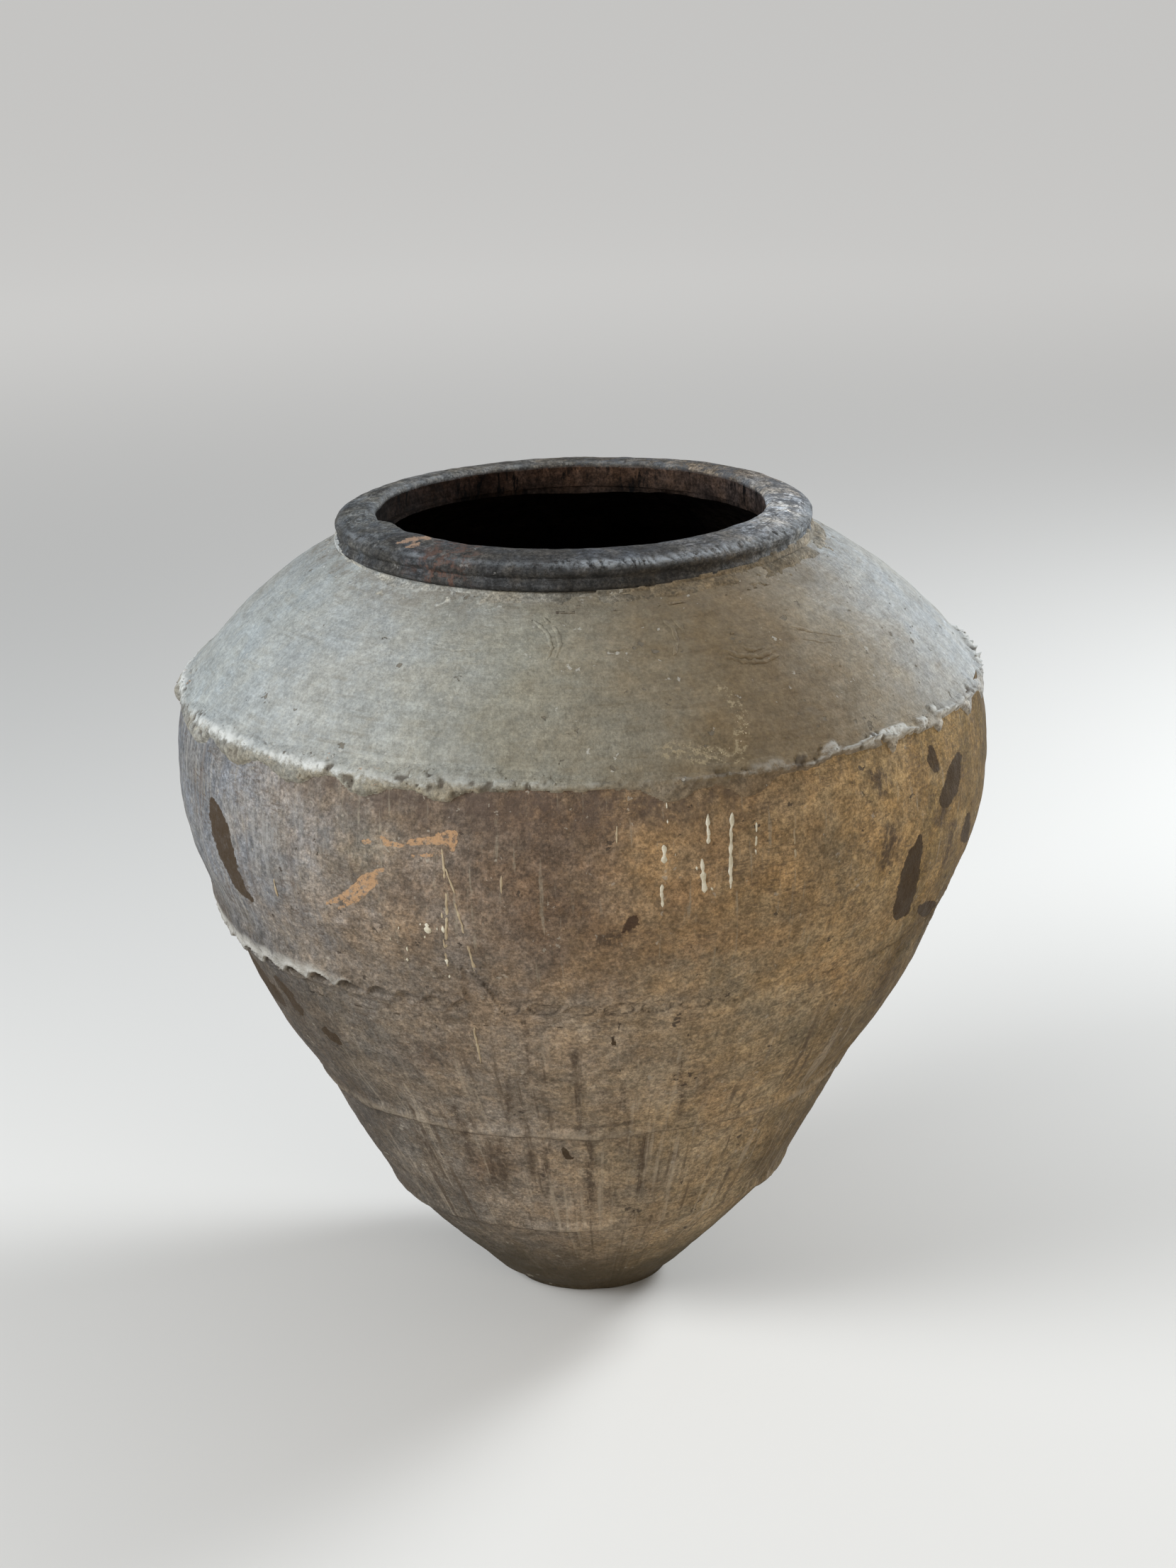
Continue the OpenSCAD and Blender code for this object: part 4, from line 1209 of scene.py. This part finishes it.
# %% Lute clay
def build_shoulder_lute(sh):
    share = sh.group(TURN, seed=3.0, waver=0.08)
    # Its dark stops right of the front are a painted shade, and its pale ones at 0.64 and 0.72 are partly a painted
    # highlight, as on the shoulder.
    body = sh.ramp(share, [(0.0, (0.30, 0.27, 0.22)), (0.30, (0.25, 0.245, 0.22)), (0.42, (0.24, 0.225, 0.18)),
                           (0.50, (0.20, 0.17, 0.125)), (0.58, (0.17, 0.125, 0.08)), (0.64, (0.34, 0.31, 0.26)),
                           (0.72, (0.38, 0.38, 0.37)), (1.0, (0.30, 0.27, 0.22))])
    body = mottled(sh, body, 51.0, 0.8)
    across = sh.math("ADD", sh.attribute("across"), clouds(sh, 12, 53.0, 0.3, 0.7, -4.0, 4.0))
    colour = sh.mix(sh.step(across, -6.0, 2.0), body, lime_and_light_colour(sh))
    # The crest is whitened at both sides: with lime and dust at the left, and as a painted highlight along the ragged
    # crest at the right.
    sides = sh.math("MAXIMUM", sh.step(share, 0.46, 0.38), sh.step(share, 0.57, 0.63))
    crest = both(sh, sh.step(sh.attribute("proud"), 1.6, 4.0), sh.step(across, -5.0, 1.0),
                 clouds(sh, 9, 52.0, 0.36, 0.52))
    colour = sh.mix(both(sh, crest, sh.step(sides, 0.0, 1.0, 0.25, 0.9)), colour, (0.60, 0.61, 0.59))
    chips = both(sh, clouds(sh, 9, 54.0, 0.60, 0.64), clouds(sh, 50, 55.0, 0.5, 0.56))
    colour = sh.mix(both(sh, chips, sh.step(share, 0.46, 0.40)), colour, (0.40, 0.25, 0.15))
    colour = speckled(sh, colour, (0.48, 0.47, 0.43), (0.09, 0.075, 0.06), 56.0)
    colour = sh.mix(both(sh, sh.attribute("cracks_and_shade"), 0.75), colour, (0.075, 0.06, 0.045))
    height = sh.group(GRAIN, lumps=2.4, sand=0.3, wiping=0.1)
    pits = both(sh, sh.group(PITS, size=7 * MM, seed=57.0, few=0.44), -1.4)
    return colour, clouds(sh, 20, 4.0, first=0.84, last=0.96), sh.math("ADD", height, pits)


def build_neck_lute(sh):
    share = sh.group(TURN, seed=4.0, waver=0.08)
    # Its dark stops right of the front are a painted shade, like the shoulder below.
    colour = sh.ramp(share, [(0.0, (0.30, 0.26, 0.20)), (0.28, (0.33, 0.335, 0.32)), (0.42, (0.28, 0.27, 0.235)),
                             (0.50, (0.17, 0.150, 0.115)), (0.58, (0.155, 0.120, 0.075)), (0.64, (0.15, 0.118, 0.075)),
                             (0.70, (0.25, 0.225, 0.18)), (1.0, (0.30, 0.26, 0.20))])
    colour = mottled(sh, colour, 61.0)
    colour = speckled(sh, colour, (0.46, 0.44, 0.38), (0.07, 0.055, 0.04), 63.0)
    return colour, clouds(sh, 20, 4.0, first=0.82, last=0.95), sh.group(GRAIN, lumps=2.2, sand=0.3, wiping=0.4)

# %% Sooted rim
def build_rim(sh):
    share = sh.group(TURN, seed=5.0, waver=0.10)
    # The pale bluish stops at the right, from 0.63 to 0.73 on the top and at 0.70 on the face, are a painted highlight.
    face = sh.ramp(share, [(0.0, (0.075, 0.068, 0.06)), (0.27, (0.072, 0.075, 0.076)), (0.40, (0.030, 0.030, 0.030)),
                           (0.50, (0.027, 0.026, 0.025)), (0.62, (0.058, 0.052, 0.044)), (0.70, (0.150, 0.165, 0.178)),
                           (0.82, (0.08, 0.078, 0.075)), (1.0, (0.075, 0.068, 0.06))])
    top = sh.ramp(share, [(0.0, (0.12, 0.105, 0.085)), (0.27, (0.128, 0.136, 0.138)), (0.37, (0.074, 0.075, 0.076)),
                          (0.45, (0.046, 0.045, 0.044)), (0.56, (0.062, 0.064, 0.068)), (0.63, (0.17, 0.17, 0.17)),
                          (0.73, (0.47, 0.475, 0.48)), (0.84, (0.17, 0.145, 0.12)), (1.0, (0.12, 0.105, 0.085))])
    colour = sh.mix(sh.step(height_of(sh), z_top - 8 * MM, z_top - 3 * MM), face, top)
    colour = mottled(sh, colour, 71.0, 1.7)
    worked = both(sh, streaks(sh, 50, 73.0, 0.54, 0.60, 14.0), clouds(sh, 30, 74.0, 0.40, 0.56), 0.7)
    colour = sh.mix(worked, colour, (0.020, 0.018, 0.017))
    soot = both(sh, clouds(sh, 26, 75.0, 0.50, 0.57), sh.step(share, 0.66, 0.72), 0.8)
    colour = sh.mix(soot, colour, (0.072, 0.078, 0.088))
    # The worn places are paled: partly wear, and partly a painted highlight on the rim's edges.
    rubbed = both(sh, sh.attribute("worn"), clouds(sh, 7, 76.0, 0.38, 0.54), 0.9)
    colour = sh.mix(rubbed, colour, (0.30, 0.325, 0.35))
    rust = both(sh, between(sh, share, 0.385, 0.425, 0.012), clouds(sh, 12, 77.0, 0.48, 0.58), 0.7)
    colour = sh.mix(rust, colour, (0.13, 0.068, 0.048))
    scrape = both(sh, within(sh, "scrape", 0.8, 2.0, 6, 72.0), clouds(sh, 5, 70.0, 0.36, 0.50))
    colour = sh.mix(scrape, colour, (0.36, 0.24, 0.165))
    colour = speckled(sh, colour, (0.24, 0.235, 0.225), (0.014, 0.013, 0.012), 78.0)
    colour = sh.mix(sh.attribute("inside"), colour, inside_colour(sh))
    height = sh.group(GRAIN, lumps=3.0, sand=0.25, wiping=0.8)
    height = sh.math("ADD", height, both(sh, worked, -0.6))
    return colour, clouds(sh, 16, 79.0, first=0.50, last=0.78), height

# %% Lime and crumbs
def build_lime(sh):
    colour = sh.mix(clouds(sh, 8, 81.0), (0.66, 0.63, 0.53), (0.52, 0.48, 0.37))
    return colour, clouds(sh, 10, 82.0, first=0.6, last=0.8), sh.group(GRAIN, lumps=0.8, sand=0.1, wiping=0.0)


def build_cream(sh):
    colour = sh.mix(clouds(sh, 8, 83.0), (0.42, 0.35, 0.24), (0.33, 0.26, 0.17))
    return colour, clouds(sh, 10, 84.0, first=0.7, last=0.9), sh.group(GRAIN, lumps=0.8, sand=0.1, wiping=0.0)


def build_crumb(sh):
    colour = speckled(sh, lime_and_light_colour(sh), (0.5, 0.49, 0.45), (0.1, 0.085, 0.07), 85.0)
    return colour, clouds(sh, 10, 92.0, first=0.8, last=0.95), sh.group(GRAIN, lumps=0.8, sand=0.2, wiping=0.0)


MATERIALS = {name: material(name, build, 0.04 if name == "inner_clay" else 0.3) for name, build in {
    "body_clay": build_body, "slab_clay": build_slab, "thumbed_clay": build_thumbed, "wiped_clay": build_wiped,
    "limed_clay": build_limed,
    "shoulder_lute_clay": build_shoulder_lute, "neck_lute_clay": build_neck_lute, "sooted_clay": build_rim,
    "inner_clay": build_inside, "white_lime": build_lime, "cream_lime": build_cream, "crumbs": build_crumb}.items()}
print("materials", len(MATERIALS))

# %% [markdown]
# ## Drips, ridges and crumbs
# What was spilt or dragged over the jar stands a little proud of it. Two small Geometry Nodes trees make all of it:
# one lays a flattened bead along a line, for runs of lime and for the ridges that fingers left in the limewash, and
# one scatters crumbs of clay over a piece where an attribute allows them.

# %% Node trees for beads and crumbs
def tree_with(name, inputs):
    tree = bpy.data.node_groups.new(name, "GeometryNodeTree")
    tree.interface.new_socket("Geometry", in_out="INPUT", socket_type="NodeSocketGeometry")
    for label, (kind, default) in inputs.items():
        socket = tree.interface.new_socket(label, in_out="INPUT", socket_type="NodeSocket" + kind)
        if default is not None:
            socket.default_value = default
    tree.interface.new_socket("Geometry", in_out="OUTPUT", socket_type="NodeSocketGeometry")
    return tree, tree.nodes.new("NodeGroupInput"), Shader(tree)


def finish_tree(tree, entry, geometry):
    """Ends a tree: instances become real faces, shaded smooth, with the material that was asked for."""
    sh = Shader(tree)
    geometry = sh.node("GeometryNodeRealizeInstances", {0: geometry})
    geometry = sh.node("GeometryNodeSetShadeSmooth", {0: geometry})
    geometry = sh.node("GeometryNodeSetMaterial", {"Geometry": geometry, "Material": entry.outputs["Material"]})
    tree.links.new(geometry, tree.nodes.new("NodeGroupOutput").inputs[0])
    return tree


def bead_tree():
    tree, entry, gn = tree_with("beads", {"Flatness": ("Float", 0.3), "Corners": ("Int", 8), "Material": ("Material", None)})
    lift = gn.node("GeometryNodeInputNamedAttribute", {"Name": "lift"}, data_type="FLOAT_VECTOR")
    half = gn.node("GeometryNodeInputNamedAttribute", {"Name": "half_width"}, data_type="FLOAT")
    curve = gn.node("GeometryNodeMeshToCurve", {"Mesh": entry.outputs["Geometry"]})
    curve = gn.node("GeometryNodeSetCurveNormal", {"Curve": curve, "Normal": lift}, mode="FREE")
    circle = gn.node("GeometryNodeCurvePrimitiveCircle", {"Resolution": entry.outputs["Corners"], "Radius": 1.0})
    flat = gn.node("ShaderNodeCombineXYZ", {0: entry.outputs["Flatness"], 1: 1.0, 2: 1.0})
    section = gn.node("GeometryNodeTransform", {"Geometry": circle, "Scale": flat})
    bead = gn.node("GeometryNodeCurveToMesh", {"Curve": curve, "Profile Curve": section, "Scale": half,
                                               "Fill Caps": True})
    return finish_tree(tree, entry, bead)


def crumb_tree():
    tree, entry, gn = tree_with("crumbs", {"Density": ("Float", 1000.0), "Smallest": ("Float", 0.0005),
                                           "Largest": ("Float", 0.0015), "Seed": ("Int", 0),
                                           "Material": ("Material", None)})
    share = gn.node("GeometryNodeInputNamedAttribute", {"Name": "crumbs"}, data_type="FLOAT")
    density = gn.math("MULTIPLY", share, entry.outputs["Density"])
    points = gn.node("GeometryNodeDistributePointsOnFaces", {"Mesh": entry.outputs["Geometry"], "Density": density,
                                                             "Seed": entry.outputs["Seed"]})
    crumb = gn.node("GeometryNodeMeshIcoSphere", {"Radius": 1.0, "Subdivisions": 1})
    turned = gn.node("FunctionNodeRandomValue", {"Max": (6.28, 6.28, 6.28), "Seed": entry.outputs["Seed"]},
                     data_type="FLOAT_VECTOR")
    shape = gn.node("FunctionNodeRandomValue", {"Min": (0.6, 0.6, 0.6), "Max": (1.3, 1.3, 1.3), "Seed": 3},
                    data_type="FLOAT_VECTOR")
    grown = gn.node("FunctionNodeRandomValue", {2: entry.outputs["Smallest"], 3: entry.outputs["Largest"], "Seed": 5},
                    out=1, data_type="FLOAT")
    placed = gn.node("GeometryNodeInstanceOnPoints", {"Points": points, "Instance": crumb, "Rotation": turned,
                                                      "Scale": gn.scale(shape, grown)})
    return finish_tree(tree, entry, placed)


def settle(obj, tree, **values):
    """Runs a node tree on a piece with the named inputs and keeps the plain mesh that comes out."""
    modifier = obj.modifiers.new(tree.name, "NODES")
    modifier.node_group = tree
    for item in tree.interface.items_tree:
        if item.in_out == "INPUT" and item.name in values:
            modifier[item.identifier] = values[item.name]
    shape = obj.evaluated_get(bpy.context.evaluated_depsgraph_get())
    mesh = bpy.data.meshes.new_from_object(shape)
    obj.modifiers.clear()
    obj.data = mesh
    return obj


BEADS, CRUMBS = bead_tree(), crumb_tree()
print("node trees", BEADS.name, CRUMBS.name)

# %% Runs of lime and finger ridges
# Chains of (pixel x, pixel y, half width in pixels); a chain starts and ends in a point
WHITE_RUNS = [[(937, 1192, 3), (938, 1199, 4), (938, 1206, 2), (938, 1214, 4), (938, 1219, 2)],
              [(934, 1249, 3), (934, 1256, 2), (934, 1266, 2), (935, 1276, 2.5), (935, 1281, 1)],
              [(999, 1148, 2), (999, 1160, 2.5), (999, 1172, 1.5), (999, 1190, 2.5)],
              [(991, 1210, 1.5), (992, 1225, 2.5), (993, 1242, 3.5), (994, 1254, 5), (994, 1260, 2)],
              [(1033, 1146, 2.5), (1032, 1160, 3), (1032, 1190, 2.5), (1031, 1225, 3), (1031, 1254, 2)],
              [(1067, 1160, 1.5), (1067, 1175, 1.2), (1067, 1190, 1.8), (1067, 1206, 1)],
              [(940, 1133, 1.5), (941, 1140, 2.5)], [(942, 1156, 1.5), (942, 1162, 2)], [(941, 1168, 1.5), (941, 1172, 2)],
              [(983, 1222, 2), (984, 1228, 2)], [(1003, 1252, 2), (1006, 1256, 1.5)], [(953, 1204, 1.5), (953, 1208, 1.5)],
              [(601, 1304, 3), (602, 1311, 5), (603, 1319, 3)], [(598, 1322, 3), (598, 1328, 3)],
              [(624, 1308, 2), (625, 1318, 3)], [(629, 1355, 2), (629, 1363, 2.5)], [(574, 1337, 2), (574, 1343, 2.5)],
              [(574, 1352, 1.5), (574, 1357, 2)], [(591, 1303, 2), (591, 1308, 2)], [(562, 1307, 1.5), (562, 1311, 2)],
              [(616, 1309, 1.5), (616, 1314, 2)], [(550, 1323, 1.5), (551, 1327, 1.5)], [(633, 1378, 2), (633, 1385, 2)]]
CREAM_RUNS = [[(622, 1198, 1.5), (625, 1225, 1.5), (628, 1272, 2), (629, 1305, 1.5), (628, 1338, 2.5)],
              [(640, 1276, 1.2), (650, 1305, 2), (662, 1345, 1.5), (672, 1384, 2.5)],
              [(621, 1288, 1.2), (625, 1330, 1.5), (630, 1366, 2)], [(627, 1226, 1.2), (640, 1262, 1.5)],
              [(706, 1236, 1), (707, 1262, 1.5)], [(1120, 1168, 1.2), (1121, 1215, 1.8)], [(870, 1166, 1), (871, 1190, 1.5)],
              [(668, 1450, 1), (672, 1475, 2), (678, 1500, 1)], [(386, 1238, 1), (390, 1252, 2), (394, 1264, 1)]]
RIDGES = [[(1018, 916, 1), (1040, 926, 2), (1068, 928, 2), (1094, 918, 1.5), (1104, 908, 0.8)],
          [(1022, 926, 1), (1046, 934, 1.8), (1074, 935, 1.8), (1100, 925, 1)],
          [(1040, 912, 0.8), (1060, 918, 1.5), (1080, 914, 1)],
          [(752, 872, 0.8), (772, 890, 1.6), (778, 912, 1.6), (770, 930, 0.8)],
          [(766, 868, 0.8), (784, 886, 1.6), (790, 908, 1.4), (784, 926, 0.8)],
          [(934, 872, 0.8), (950, 888, 1.5), (956, 908, 1.5), (950, 926, 0.8)],
          [(944, 868, 0.8), (962, 886, 1.4), (968, 906, 1)],
          [(1112, 884, 1), (1140, 892, 2), (1180, 898, 1.6), (1216, 892, 0.8)],
          [(1130, 902, 0.8), (1160, 908, 1.5), (1196, 906, 0.8)],
          [(840, 905, 0.8), (866, 914, 1.2), (890, 912, 0.8)], [(600, 905, 0.8), (640, 915, 1.3), (690, 912, 0.8)]]
BEAD_STEP = 1.6 * MM


def beads(name, chains, flatness, finish, proud, wider=1.0):
    """Lines on the clay, one for each chain of pixels, wandering a little, with their width kept at each point."""
    points, widths, edges = [], [], []
    for chain in chains:
        knots = np.array([on_wall(px, py) for px, py, _ in chain])
        half = np.array([w for _, _, w in chain]) * PX * wider
        gone = np.concatenate([[0], np.cumsum(np.linalg.norm(np.diff(knots, axis=0), axis=1))])
        along = np.linspace(0, gone[-1], max(5, round(gone[-1] / BEAD_STEP)))
        line = np.stack([np.interp(along, gone, knots[:, k]) for k in range(3)], 1)
        taper = np.clip(np.minimum(along, gone[-1] - along) / (2 * MM), 0.25, 1)
        start = len(points)
        points += list(line)
        widths += list(np.interp(along, gone, half) * taper)
        edges += [(start + k, start + k + 1) for k in range(len(line) - 1)]
    points, widths = np.array(points), np.array(widths)
    points += np.stack([noise(points, 0.006, seed) for seed in (95, 96, 97)], 1) * 0.6 * MM
    widths *= 1 + 0.6 * noise(points, 0.003, 98)
    placed, normals = on_clay(points, proud)
    mesh = bpy.data.meshes.new(name)
    mesh.from_pydata(placed.tolist(), edges, [])
    obj = bpy.data.objects.new(name, mesh)
    bpy.context.scene.collection.objects.link(obj)
    store(obj, "half_width", widths)
    mesh.attributes.new("lift", "FLOAT_VECTOR", "POINT").data.foreach_set("vector", normals.ravel())
    return settle(obj, BEADS, Flatness=flatness, Material=MATERIALS[finish])


white_runs = beads("white_runs", WHITE_RUNS, 0.34, "white_lime", 0.2 * MM)
cream_runs = beads("cream_runs", CREAM_RUNS, 0.34, "cream_lime", 0.25 * MM)
finger_ridges = beads("finger_ridges", RIDGES, 0.5, "crumbs", 0.0, 2.0)
print("beads", [len(o.data.polygons) for o in (white_runs, cream_runs, finger_ridges)], "faces")

# %% Crumbs of clay
def crumbs(name, host, share, density, smallest, largest, seed, finish):
    """Scatters crumbs over a copy of a piece where share allows; share has one number for each of its vertices."""
    obj = bpy.data.objects.new(name, host.data.copy())
    bpy.context.scene.collection.objects.link(obj)
    store(obj, "crumbs", share)
    return settle(obj, CRUMBS, Density=density, Smallest=smallest, Largest=largest, Seed=seed,
                  Material=MATERIALS[finish])


def stored(obj, name):
    values = np.empty(len(obj.data.vertices), np.float32)
    obj.data.attributes[name].data.foreach_get("value", values)
    return values


p = mesh_points(walls["shoulder"])
outside = stored(walls["shoulder"], "inside") < 0.5
trail = smooth(-stored(walls["shoulder"], "specks"), -4, 1) * smooth(noise(p, 0.012, 101), 0.0, 0.4) * outside
rough = smooth(np.cos(np.arctan2(p[:, 1], p[:, 0]) + math.radians(40)), 0.6, 0.95)
rough = rough * smooth(noise(p, 0.03, 102), -0.1, 0.4) * outside
lute = mesh_points(shoulder_lute)
gritty = smooth(stored(shoulder_lute, "proud"), 0.6, 2.5) * smooth(noise(lute, 0.02, 103), -0.3, 0.3)
cream_crumbs = crumbs("cream_crumbs", walls["shoulder"], trail, 45000, 0.3 * MM, 0.95 * MM, 1, "cream_lime")
shoulder_crumbs = crumbs("shoulder_crumbs", walls["shoulder"], rough, 1500, 0.5 * MM, 1.5 * MM, 2, "crumbs")
lute_crumbs = crumbs("lute_crumbs", shoulder_lute, gritty, 12000, 0.5 * MM, 1.4 * MM, 3, "shoulder_lute_clay")
print("crumbs", [len(o.data.polygons) // 20 for o in (cream_crumbs, shoulder_crumbs, lute_crumbs)])

# %% [markdown]
# ## Dressing the pieces
# Each new piece rides on the one body of the jar, stands for its imported piece, and takes its material.

# %% Replace the imported pieces
def dress(obj, finish, node=None):
    obj.data.materials.clear()
    obj.data.materials.append(MATERIALS[finish])
    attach(obj, "root")
    if node:
        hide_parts(node)


dress(floor_slab, "slab_clay", "floor_slab")
for name in WALLS[:-1]:
    dress(walls[name], "body_clay", name)
dress(walls["shoulder"], "limed_clay", "shoulder")
dress(rim, "sooted_clay", "rim")
dress(shoulder_lute, "shoulder_lute_clay", "shoulder_lute")
dress(neck_lute, "neck_lute_clay", "neck_lute")
dress(thumbed_lute, "thumbed_clay", "thumbed_lute")
for obj, node in [(lower_lute, "lower_lute"), (foot_lute, "foot_lute")]:
    dress(obj, "wiped_clay", node)
for node, obj in coils.items():
    dress(obj, "inner_clay", node)
# The inner faces of the rim and the walls take the dull finish of the inside
for obj in [rim, *walls.values()]:
    obj.data.materials.append(MATERIALS["inner_clay"])
    corners = np.empty(len(obj.data.loops), np.int32)
    obj.data.loops.foreach_get("vertex_index", corners)
    inner = (stored(obj, "inside") > 0.9)[corners].reshape(-1, 4).all(axis=1)
    obj.data.polygons.foreach_set("material_index", inner.astype(np.int32))
for obj, finish, slot in [(white_runs, "white_lime", "limed_clay"), (cream_runs, "cream_lime", "limed_clay"),
                          (finger_ridges, "crumbs", "limed_clay"), (cream_crumbs, "cream_lime", "limed_clay"),
                          (shoulder_crumbs, "crumbs", "limed_clay"), (lute_crumbs, "shoulder_lute_clay", "lute_clay")]:
    dress(obj, finish)
print("pieces dressed", len(walls) + len(coils) + 7 + 6)

# %% [markdown]
# ## Floor and light
# The studio is plain: one wide pale floor and three soft lamps. A large cool lamp stands at the left, a smaller cool
# one behind at the right draws the bright edge of the shoulder, and a weak warm one fills the front. Far from the
# jar the floor glows a little, for the camera alone, so that the background stays pale to the top of the picture.

# %% Floor, lamps and world
FLOOR_SIZE = 60
FLOOR_SEEN = (0.70, 0.69, 0.67)
FLOOR_BOUNCE = (0.50, 0.45, 0.38)
GLOW_BEGINS, GLOW_FULL, GLOW = 1.7, 6.5, 0.58

bpy.ops.mesh.primitive_plane_add(size=FLOOR_SIZE)
floor = bpy.context.object
floor.name = "studio_floor"
floor_material = bpy.data.materials.new("studio_floor")
floor_material.use_nodes = True
sh = Shader(floor_material.node_tree)
path = floor_material.node_tree.nodes.new("ShaderNodeLightPath")
seen_ray = sh.math("MAXIMUM", path.outputs["Is Camera Ray"], path.outputs["Is Glossy Ray"])
seen_ray = sh.math("MAXIMUM", seen_ray, path.outputs["Is Transmission Ray"])
floor_shader = floor_material.node_tree.nodes["Principled BSDF"]
floor_shader.inputs["Roughness"].default_value = 0.9
floor_shader.inputs["Specular IOR Level"].default_value = 0.2
floor_material.node_tree.links.new(sh.mix(seen_ray, FLOOR_BOUNCE, FLOOR_SEEN), floor_shader.inputs["Base Color"])
away = sh.node("ShaderNodeVectorMath", {0: sh.object_place()}, operation="LENGTH", out="Value")
glow = sh.math("MULTIPLY", seen_ray, sh.step(away, GLOW_BEGINS, GLOW_FULL, 0.0, GLOW))
floor_shader.inputs["Emission Color"].default_value = (*FLOOR_SEEN, 1)
floor_material.node_tree.links.new(glow, floor_shader.inputs["Emission Strength"])
floor.data.materials.append(floor_material)


def lamp(name, place, aim, size, watts, colour):
    data = bpy.data.lights.new(name, "AREA")
    data.size = size
    data.energy = watts
    data.color = colour
    obj = bpy.data.objects.new(name, data)
    bpy.context.scene.collection.objects.link(obj)
    obj.location = place
    away = obj.location - type(obj.location)(aim)
    obj.rotation_euler = away.to_track_quat("Z", "Y").to_euler()


lamp("key", (-3.2, -1.5, 2.3), (0, 0, 0.45), 2.0, 165, (0.95, 0.98, 1.0))
lamp("kicker", (2.7, 1.5, 2.1), (0.1, 0, 0.5), 1.0, 120, (0.93, 0.97, 1.0))
lamp("fill", (1.6, -3.2, 0.9), (0, 0, 0.35), 2.0, 42, (1.0, 0.90, 0.76))

world = bpy.data.worlds.new("world")
bpy.context.scene.world = world
world.use_nodes = True
world.node_tree.nodes["Background"].inputs["Color"].default_value = (0.95, 0.97, 1.0, 1)
world.node_tree.nodes["Background"].inputs["Strength"].default_value = 0.22
bpy.context.scene.view_settings.view_transform = "Standard"
